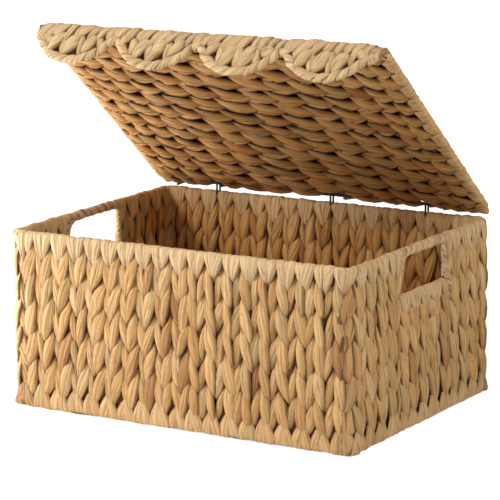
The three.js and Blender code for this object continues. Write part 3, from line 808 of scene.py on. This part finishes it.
def turn_shapes(name, half_x, half_y, width, thickness, slope):
    """Closed slanting turns of a flat strand, lying round their own upward axis."""
    shapes = bpy.data.collections.new(name)
    girth = math.pi * (half_x + half_y) / FIBRE_LENGTH
    count = len(TURN_SHARES)
    for k, share in enumerate(TURN_WIDTH_SHARES):
        verts, faces, marks = [], [], []
        painted_shade_and_age = [abs(across) ** 3 * TURN_EDGE_SHADE for across, lift in TURN_SHARES] * TURN_STEPS
        for i in range(TURN_STEPS):
            a = i / TURN_STEPS * 2 * math.pi
            s, t = i / TURN_STEPS * girth, (i + 1) / TURN_STEPS * girth
            for j, (across, lift) in enumerate(TURN_SHARES):
                r = 1 + lift * thickness / 2 / half_x
                x, y = half_x * r * math.cos(a), half_y * r * math.sin(a)
                verts.append((x, y, slope * x + across * width * share / 2))
                n, m = (j + 1) % count, (i + 1) % TURN_STEPS
                faces.append((i * count + j, i * count + n, m * count + n, m * count + j))
                u, v = j / count, (j + 1) / count
                marks.append([(u, s), (v, s), (v, t), (u, t)])
        shape_object(f"{name}_{k}", verts, faces, marks, painted_shade_and_age, shapes)
    return shapes


def clear_shapes(*kits):
    for shapes in kits:
        for thing in list(shapes.objects):
            mesh = thing.data
            bpy.data.objects.remove(thing)
            bpy.data.meshes.remove(mesh)
        bpy.data.collections.remove(shapes)


# From base meshes to finished pieces


def grown(name, mesh, tree, values):
    """The plain mesh that a geometry tree makes of a base mesh."""
    base = bpy.data.objects.new(name, mesh)
    bpy.context.scene.collection.objects.link(base)
    modifier = base.modifiers.new(name, "NODES")
    modifier.node_group = tree
    for item in tree.interface.items_tree:
        if item.in_out == "INPUT" and item.name in values:
            modifier[item.identifier] = values[item.name]
    bpy.context.view_layer.update()
    evaluated = base.evaluated_get(bpy.context.evaluated_depsgraph_get())
    result = bpy.data.meshes.new_from_object(evaluated)
    base.modifiers.clear()
    bpy.data.objects.remove(base)
    bpy.data.meshes.remove(mesh)
    result.name = name
    return result


def column_mesh(columns):
    """Points with attributes, one for each column of strands."""
    mesh = bpy.data.meshes.new("columns")
    mesh.from_pydata([c["at"] for c in columns], [], [])
    kinds = {"facing": ("FLOAT_VECTOR", "vector"), "rows": ("INT", "value")}
    sizes = "lean", "rise", "broad", "low", "high", "first", "shift", "fold_low", "fold_high"
    for name in ("facing", "rows", *sizes):
        kind, field = kinds.get(name, ("FLOAT", "value"))
        layer = mesh.attributes.new(name, kind, "POINT")
        for item, column in zip(layer.data, columns):
            setattr(item, field, column.get(name, 0))
    return mesh


def shared_values(seed):
    """What every tree is given for its strands."""
    strands = bpy.context.scene.woven_strands
    return {"Unevenness": strands.uneven, "Seed": strands.seed + seed, "Material": hyacinth()}


def twined(name, columns, kit, weave):
    """The mesh of a twined weave."""
    strands = bpy.context.scene.woven_strands
    values = {**WEAVE, "Leaf length": strands.reach, "Lean": strands.lean}
    values.update({**shared_values(SEEDS[name]), **kit, **weave})
    return grown(name, column_mesh(columns), twined_tree(), values)


def wound(name, path, facing, turns, shift=0):
    """The mesh of a strand wound round a path of points."""
    spacing, seed = WINDINGS[name]
    mesh = bpy.data.meshes.new(name)
    mesh.from_pydata(path, [(k, k + 1) for k in range(len(path) - 1)], [])
    values = {"Turns": turns, "Spacing": spacing, "Facing": facing, **shared_values(seed + shift)}
    return grown(name, mesh, wound_tree(), values)


def piece(name, meshes, body, slot, *nodes):
    """Joins meshes to a piece that rides on a body and stands for its solids."""
    things = [bpy.data.objects.new(name, mesh) for mesh in meshes]
    for thing in things:
        bpy.context.scene.collection.objects.link(thing)
    whole = things[0]
    if len(things) > 1:
        chosen = {"active_object": whole, "object": whole, "selected_editable_objects": things}
        with bpy.context.temp_override(**chosen):
            bpy.ops.object.join()
    whole.name = name
    whole.data.name = name
    whole.data.shade_smooth()
    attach(whole, body)
    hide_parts(*nodes)


# Materials


def cleared(block):
    """The bench of a material or world whose nodes are taken out."""
    block.use_nodes = True
    block.node_tree.nodes.clear()
    return Bench(block.node_tree)


def hyacinth():
    """Dried water hyacinth: straw strands of mixed tone, with long fibres, creases and stains, and painted
    shade on edges and tips, in creases, on shaded sides and on the cores.
    """
    found = bpy.data.materials.get("Dried hyacinth")
    if found:
        return found
    colours = bpy.context.scene.woven_colours
    material = bpy.data.materials.new("Dried hyacinth")
    b = cleared(material)
    names = "tone", "grain", "inner", "edge", "bleach", "shade"
    tone, grain, inner, edge, bleach, shade = (
        b.add("ShaderNodeAttribute", attribute_name=name).outputs["Fac"] for name in names
    )
    uv = b.parts(b.add("ShaderNodeUVMap", uv_map="UVMap").outputs[0])

    def towards(name, share, colour):
        return b.mix("MIX", share, colour, (*getattr(colours, name), 1))

    def strand_noise(across, along, jump, detail, roughness=0.5):
        """Noise drawn out along a strand, that starts elsewhere on each strand."""
        place = b.combine(b.times(uv[0], across), b.times(uv[1], along), b.times(grain, jump))
        return b.noise(place, 1.0, detail, roughness)[0]

    ramp = b.add("ShaderNodeValToRGB", {0: tone})
    while len(ramp.color_ramp.elements) < len(TONES):
        ramp.color_ramp.elements.new(0.5)
    for element, (position, name) in zip(ramp.color_ramp.elements, TONES):
        element.position = position
        element.color = (*getattr(colours, name), 1)
    colour = towards("bleached", b.times(bleach, 0.5), ramp.outputs[0])
    # Painted shade: sides that lie in the box's shade, inside the walls, under the lid and on the floor, are
    # multiplied darker and warmer
    colour = b.mix("MULTIPLY", shade, colour, SHADE_TINT)

    fibre = strand_noise(across=26.0, along=1.1, jump=61.0, detail=5.0, roughness=0.62)
    drift = strand_noise(across=2.0, along=0.9, jump=23.0, detail=1.0)
    stain = strand_noise(across=3.0, along=2.4, jump=97.0, detail=3.0, roughness=0.6)
    crease = b.times(uv[0], 4.6, b.times(drift, 2.6, b.times(grain, 11.0)))
    crease = b.math("PINGPONG", crease, 0.5)

    gap = b.math("SUBTRACT", 1.0, b.ranged(fibre, 0.3, 0.7, 0.0, 1.0))
    dark = b.mix("MULTIPLY", 1.0, colour, GAP_TINT)
    colour = b.mix("MIX", b.times(gap, 0.75), colour, dark)
    colour = towards("stain", b.ranged(stain, 0.56, 0.74, 0.0, 0.5), colour)
    # Dark lines along the creases, stronger where stained, are painted shade in the grooves that the bump
    # below dents
    line = b.ranged(crease, 0.0, 0.08, 1.0, 0.0)
    line = b.times(line, b.ranged(stain, 0.35, 0.6, 0.15, 1.0))
    colour = towards("crease", b.times(line, 0.55), colour)
    # Painted shade on edges and tips, wider where a side is shaded and on bleached strands; at the tips it
    # also stands for age
    sharpness = b.times(bleach, -0.45, b.times(shade, -0.8, 1.6))
    colour = towards("edge", b.times(b.math("POWER", edge, sharpness), 0.9), colour)
    # Painted shade: the cores are coloured dark, to stand for the shaded gaps between the columns
    colour = towards("inner", b.times(inner, 0.8), colour)

    height = b.times(crease, 1.3, b.times(fibre, 0.9))
    height = b.math("SUBTRACT", height, b.times(line, 0.6))
    rough = b.ranged(fibre, 0.2, 0.8, 0.7, 0.5)
    b.surface(colour, rough, height, 1.0, 1 * MM, **{"Specular IOR Level": 0.3})
    return material


def coated_iron(name, rough):
    """Dark coated iron, a little uneven in its gloss, with spots of rust."""
    colours = bpy.context.scene.woven_colours
    material = bpy.data.materials.new(name)
    b = cleared(material)
    place = b.add("ShaderNodeTexCoord").outputs["Object"]
    noise = b.noise(place, 180.0, 4.0)[0]
    rust = b.ranged(noise, 0.6, 0.75, 0.0, 0.5)
    colour = b.mix("MIX", rust, (*colours.iron, 1), (*colours.rust, 1))
    gloss = b.ranged(noise, 0.3, 0.7, rough - 0.1, rough + 0.12)
    b.surface(colour, gloss, noise, 0.3, 0.2 * MM, Metallic=0.6)
    return material


# Where columns of strands stand


def loop_point(side, s, halves=(LOOP_X, LOOP_Y), bend=LOOP_BEND):
    """A point of a rounded loop, s from the corner before it, and the way it faces."""
    half, other = halves[side % 2], halves[(side + 1) % 2]
    arc = bend * math.pi / 4
    span = 2 * (half - bend)
    if s < arc:
        turn, start = (s - arc) / bend, -half + bend
    elif s > arc + span:
        turn, start = (s - arc - span) / bend, half - bend
    else:
        turn, start = 0, -half + bend + s - arc
    point = Vector((start + bend * math.sin(turn), -other + bend - bend * math.cos(turn), 0))
    spin = Matrix.Rotation(side * math.pi / 2, 3, "Z")
    return spin @ point, spin @ Vector((math.sin(turn), -math.cos(turn), 0))


def wall_columns(side):
    """The columns of one wall: 0 the front, then the right, the back and the left."""
    steps = WALL_COLUMNS[side % 2]
    half = (LOOP_X, LOOP_Y)[side % 2]
    path = 2 * (half - LOOP_BEND) + LOOP_BEND * math.pi / 2
    columns = []
    for k in range(steps):
        near = min(k, steps - k)
        s = path * k / steps
        if near:
            s += math.copysign(CORNER_CROWDING / near, k - steps / 2)
        at, facing = loop_point(side, s)
        turned = side == 0 and k > FRONT_TURN_COLUMN or side == 1
        column = {"at": at, "facing": facing, "lean": LEANS[k % 2], "rise": RISES[(k + turned) % 2]}
        column.update(broad=path / steps / STRAND_PITCH, low=BASE_Z, high=WALL_TOP - RIM_FOLD_DEPTH)
        column.update(rows=len(WIRE_Z), first=WIRE_Z[0], fold_low=1.0, fold_high=1.0)
        if k:
            column["shift"] = FOOT_SHIFT * column["broad"]
        else:
            column["broad"] *= RIGHT_CORNER_BREADTH if side == 1 else CORNER_BREADTH
            at += facing * (CORNER_LEAD if side == 1 else -CORNER_LEAD)
        if side % 2:
            moves = SLOT_MOVES[side]
            for end, move in zip((-SLOT_EDGE, SLOT_EDGE), moves):
                at.y += move * math.exp(-(((at.y - end) / SLOT_EASE) ** 2))
            if moves[0] - SLOT_HALF < at.y < SLOT_HALF + moves[1]:
                column.update(rows=SLOT_WIRES, high=SLOT_FLOOR_WIRE - SLOT_FLOOR_DROP)
                column["broad"] *= SLOT_BREADTH
        if side == 2:
            for ring in RING_X:
                if abs(at.x - ring) < RING_ROOM:
                    at.x += math.copysign(RING_MOVE, at.x - ring)
                    column["broad"] *= RING_BREADTH
        columns.append(column)
    return columns


def floor_columns():
    """The columns of the floor, laid from left to right, from its front to its back."""
    reach, end = LOOP_Y - FLOOR_MARGIN, LOOP_X + FLOOR_OVERLAP
    columns = []
    for k in range(FLOOR_COLUMNS):
        y = -reach + 2 * reach * k / (FLOOR_COLUMNS - 1)
        column = {"at": (y, 0, 0), "facing": (0, 1, 0), "lean": LEANS[k % 2], "rise": RISES[k % 2]}
        column.update(broad=FLOOR_BREADTH, low=-end, high=end)
        column.update(rows=len(FLOOR_WIRE_X), first=FLOOR_WIRE_X[0])
        columns.append(column)
    return columns


def crowded(x):
    """Where a place along the lid moves to: strands are longer at its middle than near its ends."""
    return x + LID_CROWDING * LID_RAIL_X / math.pi * np.sin(math.pi * np.asarray(x) / LID_RAIL_X)


def lid_columns():
    """The columns of the lid, from its back to its front. The first one is parted at the hinge rings."""
    places = [-LID_RAIL_X + LID_SPACING * (n + 0.5) for n in range(LID_ROWS)]
    ruler = np.linspace(-LID_RAIL_X, LID_RAIL_X, RULER_MARKS)
    columns = []
    for k in range(LID_COLUMNS):
        y = LID_BACK + (LID_FRONT - LID_BACK) * k / (LID_COLUMNS - 1)
        breadth, spans = LID_BREADTHS[k % 2], [(-LID_RAIL_X, LID_RAIL_X)]
        if k == 0:
            breadth, end = LID_BACK_BREADTH, LID_RAIL_X - LID_EDGE
            sides = [ring + room for ring in RING_X for room in (-LID_RING_ROOM, LID_RING_ROOM)]
            stops = [-end, *np.interp(sides, crowded(ruler), ruler), end]
            spans = list(zip(stops[::2], stops[1::2]))
        for n, (low, high) in enumerate(spans):
            inside = [x for x in places if low + LID_LEAF_ROOM < x < high - LID_LEAF_ROOM]
            rise = RISES[k % 2] if 1 < k < LID_COLUMNS - 2 else LID_EDGE_RISE
            column = {"at": (y, 0, 0), "facing": (0, 1, 0), "lean": LEANS[k % 2], "rise": rise}
            column["broad"] = breadth * (LID_BACK - LID_FRONT) / (LID_COLUMNS - 1) / STRAND_PITCH
            column.update(low=low, high=high, rows=len(inside), first=inside[0])
            column.update(fold_low=float(n == 0), fold_high=float(n == len(spans) - 1))
            columns.append(column)
    return columns


def hem_columns(seed):
    """Strands of uneven breadth, side by side along the lid's front rail and round its corners."""
    path = 2 * (LID_RAIL_X - HEM_BEND) + HEM_BEND * math.pi / 2
    rng = np.random.default_rng(seed)
    columns, s = [], 0.0
    while True:
        s = min(s, path)
        straight = 2 * HEM_BEND < s < path - 2 * HEM_BEND
        broad = rng.uniform(*HEM_BREADTHS) if straight else HEM_BREADTH
        at, facing = loop_point(0, s, (LID_RAIL_X, LID_DEPTH), HEM_BEND)
        tall = rng.uniform(*HEM_LENGTHS) if abs(at.x) < LID_RAIL_X - HEM_END_ROOM else HEM_END_LENGTH
        at -= facing * HEM_END_INSET * abs(facing.x)
        column = {"at": at, "facing": facing, "lean": 1.0, "broad": broad, "low": HEM_LOW}
        column.update(high=(broad - HEM_BREADTH) * HEM_RISE, fold_high=tall)
        columns.append(column)
        if s == path:
            return columns
        s += HEM_PITCH * (broad + 1) / 2


def lip_edge(offset):
    """The lip's scalloped edge as (along, up) points in the closed lid's frame, moved in by an offset."""
    left, right = LIP_LEFT_INSET - LID_OUTER_X, LID_OUTER_X - LIP_RIGHT_INSET
    start = left - FIRST_SCALLOP_LOSS
    pitch = (right - LIP_TAIL - start) / SCALLOPS
    depth = LIP_DROP - LIP_VALLEY
    reach = ((pitch / 2) ** 2 + depth**2) / (2 * depth)
    radius = reach - VALLEY_RADIUS
    angle = math.asin(pitch / 2 / reach)
    centre_z = LID_HALF - LIP_DROP + radius
    valley_z = centre_z - reach * math.cos(angle)

    def arc(x, z, r, first, last, steps):
        turns = [first + (last - first) * k / steps for k in range(steps + 1)]
        return [(x + r * math.sin(a), z - r * math.cos(a)) for a in turns]

    points = [(left + offset, -LID_HALF)]
    for scallop in range(SCALLOPS):
        x = start + (scallop + 0.5) * pitch
        first = -math.asin((x - left - offset) / (radius - offset)) if scallop == 0 else -angle
        points += arc(x, centre_z, radius - offset, first, angle, SCALLOP_STEPS)
        last = math.pi if scallop == SCALLOPS - 1 else math.pi - angle
        valley = arc(x + pitch / 2, valley_z, VALLEY_RADIUS + offset, math.pi + angle, last, VALLEY_STEPS)
        points += valley[1:-1]
    end = right - LIP_END_BEND, valley_z + VALLEY_RADIUS + LIP_END_BEND
    points += arc(*end, LIP_END_BEND - offset, 0, math.pi / 2, END_STEPS)
    points.append((right - offset, -LID_HALF))
    return points


def lip_columns(edge):
    """Strands that hang from the lid's front rail down to the scalloped edge."""
    left, right = edge[:, 0].min() + LIP_LEFT_ROOM, edge[:, 0].max() - LIP_RIGHT_ROOM
    count = round((right - left) / STRAND_PITCH)
    columns = []
    for k in range(count + 1):
        x = left + (right - left) * k / count
        low = float(np.interp(x, edge[:, 0], edge[:, 1]))
        column = {"at": (x, -LIP_MIDDLE, 0), "facing": (0, -1, 0), "low": low + LIP_FOOT, "high": LIP_TOP}
        column.update(lean=LIP_LEANS[k % 2], rise=LIP_LEANS[k % 2], broad=LIP_BREADTHS[k % 2])
        column.update(rows=sum(low < limit for limit in LIP_ROW_LIMITS), first=LIP_FIRST_ROW)
        columns.append(column)
    return columns


def lid_place():
    """Turns the closed lid's own frame, which starts at the hinge, to where the lid stands."""
    return Matrix.Translation(HINGE) @ Matrix.Rotation(-LID_TILT, 4, "X")


def laid_flat(height=0.0):
    """Turns upright columns along x to ones that lie from left to right at a height."""
    return Matrix(((0, 0, 1, 0), (1, 0, 0, 0), (0, 1, 0, height), (0, 0, 0, 1)))


class WOVEN_OT_iron(bpy.types.Operator):
    """Gives the rails, wires and rings their coated finish"""

    bl_idname = "woven.iron"
    bl_label = "Iron frame"

    def execute(self, context):
        iron = coated_iron("Coated iron", 0.45)
        wire = coated_iron("Ring wire", 0.4)
        for name, node in frame["nodes"].items():
            if any(word in name for word in ("panel", "binding", "wrap")):
                continue
            node.data.materials.clear()
            node.data.materials.append(wire if name.startswith("hinge_ring") else iron)
        return {"FINISHED"}


class WOVEN_OT_walls(bpy.types.Operator):
    """Twines the four walls over their rails and wires"""

    bl_idname = "woven.walls"
    bl_label = "Walls"

    def execute(self, context):
        strands = context.scene.woven_strands
        kit = {
            "Leaves": leaf_shapes("leaf", strands.reach, strands.width, strands.thickness),
            "High folds": fold_shapes("rim_fold", *RIM_FOLD),
            "Low folds": fold_shapes("foot_fold", *FOOT_FOLD),
            "Cores": core_shapes("core", *CORE),
        }
        for side, (name, bleach) in enumerate(RIM_BLEACH_AND_SHADE.items()):
            mesh = twined(name, wall_columns(side), kit, {**WALL_WEAVE, "Fold bleach": bleach})
            piece(f"{name}_weave", [mesh], "box", "woven_hyacinth", f"{name}_panel")
        clear_shapes(*kit.values())
        return {"FINISHED"}


class WOVEN_OT_floor(bpy.types.Operator):
    """Twines the floor over its wires"""

    bl_idname = "woven.floor"
    bl_label = "Floor"

    def execute(self, context):
        strands = context.scene.woven_strands
        kit = {
            "Leaves": leaf_shapes("leaf", strands.reach, strands.width, strands.thickness),
            "Cores": core_shapes("core", *CORE),
        }
        mesh = twined("floor", floor_columns(), kit, FLOOR_WEAVE)
        mesh.transform(laid_flat(FLOOR_HEIGHT))
        piece("floor_weave", [mesh], "box", "woven_hyacinth", "floor_panel")
        clear_shapes(*kit.values())
        return {"FINISHED"}


class WOVEN_OT_lid(bpy.types.Operator):
    """Twines the lid over its wires, with the strands folded over its side rails"""

    bl_idname = "woven.lid"
    bl_label = "Lid"

    def execute(self, context):
        strands = context.scene.woven_strands
        kit = {
            "Leaves": leaf_shapes("lid_leaf", LID_LEAF_LENGTH, strands.width, *LID_LEAF),
            "High folds": fold_shapes("right_fold", *RIGHT_FOLD),
            "Low folds": fold_shapes("left_fold", *LEFT_FOLD),
            "Cores": core_shapes("core", *CORE),
        }
        mesh = twined("lid", lid_columns(), kit, LID_WEAVE)
        mesh.transform(laid_flat())
        for vert in mesh.vertices:
            vert.co.x = crowded(vert.co.x)
        mesh.transform(lid_place())
        piece("lid_weave", [mesh], "lid", "woven_hyacinth", "lid_panel")
        clear_shapes(*kit.values())
        return {"FINISHED"}


class WOVEN_OT_lip(bpy.types.Operator):
    """Wraps strands over the lid's front rail and weaves the scalloped lip below it"""

    bl_idname = "woven.lip"
    bl_label = "Lip"

    def execute(self, context):
        edge = np.array(lip_edge(BINDING))
        columns = hem_columns(context.scene.woven_strands.seed) + lip_columns(edge)
        kit = {
            "Leaves": leaf_shapes("lip_leaf", LIP_LEAF_LENGTH, *LIP_LEAF),
            "High folds": hem_shapes("hem_fold", HEM_WIDTH),
            "Cores": core_shapes("core", *LIP_CORE),
        }
        mesh = twined("lip", columns, kit, LIP_WEAVE)
        mesh.transform(lid_place())
        piece("lip_weave", [mesh], "lid", "woven_hyacinth", "lip_panel")
        clear_shapes(*kit.values())

        turns, knots = turn_shapes("turn", *LIP_TURN), turn_shapes("knot_turn", *KNOT_TURN)
        front = 0, -1, 0
        path = [Vector((x, -LIP_MIDDLE - BINDING_LEAD, z)) for x, z in lip_edge(BINDING / 2)]
        path[0].z -= BINDING_START_DROP
        del path[-3:]
        meshes = [wound("binding", path, front, turns)]
        centre = Vector((edge[:, 0].max(), -LIP_MIDDLE, 0)) + Vector(KNOT_PLACE)
        path = [centre + Vector((x, 0, z)) for x, z in arc_points(KNOT_RADIUS, 0, 360, 30)]
        meshes.append(wound("knot", path, front, knots))
        for mesh in meshes:
            mesh.transform(lid_place())
        piece("lip_binding_winding", meshes, "lid", "wrapped_hyacinth", "lip_binding")
        clear_shapes(turns, knots)
        return {"FINISHED"}


class WOVEN_OT_handles(bpy.types.Operator):
    """Winds a strand round the bar over each hand slot, and cords up its rear side and front corner"""

    bl_idname = "woven.handles"
    bl_label = "Handles"

    def execute(self, context):
        halves = BAR_SIZE.z / 2 - BAR_INSET, BAR_SIZE.x / 2 - BAR_INSET
        turns = turn_shapes("bar_turn", *halves, *BAR_TURN)
        twists = turn_shapes("cord_turn", *CORD_TURN)
        for name, side, sign in (("left", 3, -1), ("right", 1, 1)):
            x, z, out = sign * BAR_MIDDLE.x, BAR_MIDDLE.z, (sign, 0, 0)
            front, rear = SLOT_MOVES[side][0] - SLOT_HALF, SLOT_MOVES[side][1] + SLOT_HALF
            bar = [Vector((x, y, z)) for y in (front - BAR_OVERLAP, rear + BAR_OVERLAP)]
            ends = SLOT_FLOOR_WIRE - CORD_BELOW_SLOT, z - CORD_BELOW_BAR
            cord = [Vector((x, rear + CORD_LEAD, end)) for end in ends]
            slot_corner = Vector((x, rear, SLOT_FLOOR_WIRE))
            tip = [slot_corner + Vector((sign * bend, back, up)) for bend, back, up in TIP_BENDS]
            meshes = [
                wound("bar", bar, out, turns, sign),
                wound("cord", cord, out, twists, sign),
                wound("tip", tip, out, twists, sign),
            ]
            for reach in ARCH_REACHES:
                wide = ARCH_WIDTH_SHARES[sign]
                foot = Vector((x, front + reach * wide, z - ARCH_BELOW_BAR - reach))
                arch = [foot + Vector((0, -y * wide, up)) for y, up in arc_points(reach, 0, 90, 15)]
                meshes.append(wound("arch", arch, out, twists))
            piece(f"{name}_handle_winding", meshes, "box", "wrapped_hyacinth", f"handle_wrap_{name}")
        clear_shapes(turns, twists)
        return {"FINISHED"}


class WOVEN_OT_stage(bpy.types.Operator):
    """Sets the floor, the lights and the camera"""

    bl_idname = "woven.stage"
    bl_label = "Stage"

    def seen(self, b):
        """One for what the camera sees, straight, mirrored or through glass, and nothing for other light."""
        ray = b.add("ShaderNodeLightPath").outputs
        seen = b.math("MAXIMUM", ray["Is Camera Ray"], ray["Is Glossy Ray"])
        return b.math("MAXIMUM", seen, ray["Is Transmission Ray"])

    def floor(self, scene):
        half = FLOOR_HALF
        mesh = bpy.data.meshes.new("floor")
        corners = [(-half, -half, 0), (half, -half, 0), (half, half, 0), (-half, half, 0)]
        mesh.from_pydata(corners, [], [(0, 1, 2, 3)])
        floor = bpy.data.objects.new("floor", mesh)
        floor.location.z = -FLOOR_GAP
        scene.collection.objects.link(floor)
        material = bpy.data.materials.new("White floor")
        b = cleared(material)
        diffuse = b.add("ShaderNodeBsdfDiffuse", {"Color": FLOOR_TINT}).outputs[0]
        place = b.add("ShaderNodeTexCoord").outputs["Object"]
        away = b.add("ShaderNodeVectorMath", {0: place}, operation="LENGTH").outputs["Value"]
        level = b.times(self.seen(b), b.ranged(away, *GLOW_REACH, *GLOW_LEVELS))
        glow = b.add("ShaderNodeEmission", {"Strength": level}).outputs[0]
        both = b.add("ShaderNodeAddShader", {0: diffuse, 1: glow}).outputs[0]
        b.add("ShaderNodeOutputMaterial", {0: both})
        mesh.materials.append(material)

    def light(self, scene, stage):
        scene.world = bpy.data.worlds.new("Soft white room")
        b = cleared(scene.world)
        lit = b.add("ShaderNodeBackground", {"Color": SKY_TINT, "Strength": stage.sky}).outputs[0]
        white = b.add("ShaderNodeBackground", {"Color": WHITE, "Strength": 1.0}).outputs[0]
        both = b.add("ShaderNodeMixShader", {0: self.seen(b), 1: lit, 2: white}).outputs[0]
        b.add("ShaderNodeOutputWorld", {0: both})
        for name, (place, goal, size) in LAMPS.items():
            data = bpy.data.lights.new(name, "AREA")
            data.size, data.energy = size, getattr(stage, name.lower())
            lamp = bpy.data.objects.new(name, data)
            lamp.location = place
            lamp.visible_camera = False
            aim = Vector(goal or (0, 0, stage.target)) - Vector(place)
            lamp.rotation_euler = aim.to_track_quat("-Z", "Y").to_euler()
            scene.collection.objects.link(lamp)

    def camera(self, scene, stage):
        data = bpy.data.cameras.new("Camera")
        data.lens, data.sensor_width = stage.lens, SENSOR_WIDTH
        data.shift_x, data.shift_y = stage.shift
        data.clip_start, data.clip_end = CLIP
        camera = bpy.data.objects.new("Camera", data)
        turn = Matrix.Rotation(stage.azimuth, 4, "Z") @ Matrix.Rotation(math.pi / 2 - stage.elevation, 4, "X")
        turn = Matrix.Translation((0, 0, stage.target)) @ turn @ Matrix.Rotation(stage.roll, 4, "Z")
        camera.matrix_world = turn @ Matrix.Translation((0, 0, stage.distance))
        scene.collection.objects.link(camera)
        scene.camera = camera

    def execute(self, context):
        scene = context.scene
        self.floor(scene)
        self.light(scene, scene.woven_stage)
        self.camera(scene, scene.woven_stage)
        scene.view_settings.view_transform = "Standard"
        return {"FINISHED"}


STEPS = (
    WOVEN_OT_iron,
    WOVEN_OT_walls,
    WOVEN_OT_floor,
    WOVEN_OT_handles,
    WOVEN_OT_lid,
    WOVEN_OT_lip,
    WOVEN_OT_stage,
)
GROUPS = {"woven_strands": WovenStrands, "woven_colours": WovenColours, "woven_stage": WovenStage}


class WOVEN_PT_panel(bpy.types.Panel):
    """Sizes, colours and steps of the woven box"""

    bl_label = "Woven lidded box"
    bl_idname = "WOVEN_PT_panel"
    bl_space_type = "VIEW_3D"
    bl_region_type = "UI"
    bl_category = "Woven box"

    def draw(self, context):
        for name, group in GROUPS.items():
            column = self.layout.column(align=True)
            for setting in group.__annotations__:
                column.prop(getattr(context.scene, name), setting)
        for step in STEPS:
            self.layout.operator(step.bl_idname)


def register():
    for item in (*GROUPS.values(), *STEPS, WOVEN_PT_panel):
        bpy.utils.register_class(item)
    for name, group in GROUPS.items():
        setattr(bpy.types.Scene, name, PointerProperty(type=group))


def unregister():
    for name in GROUPS:
        delattr(bpy.types.Scene, name)
    for item in reversed((*GROUPS.values(), *STEPS, WOVEN_PT_panel)):
        bpy.utils.unregister_class(item)


def main():
    register()
    for step in STEPS:
        area, name = step.bl_idname.split(".")
        getattr(getattr(bpy.ops, area), name)()


if __name__ == "__main__":
    main()
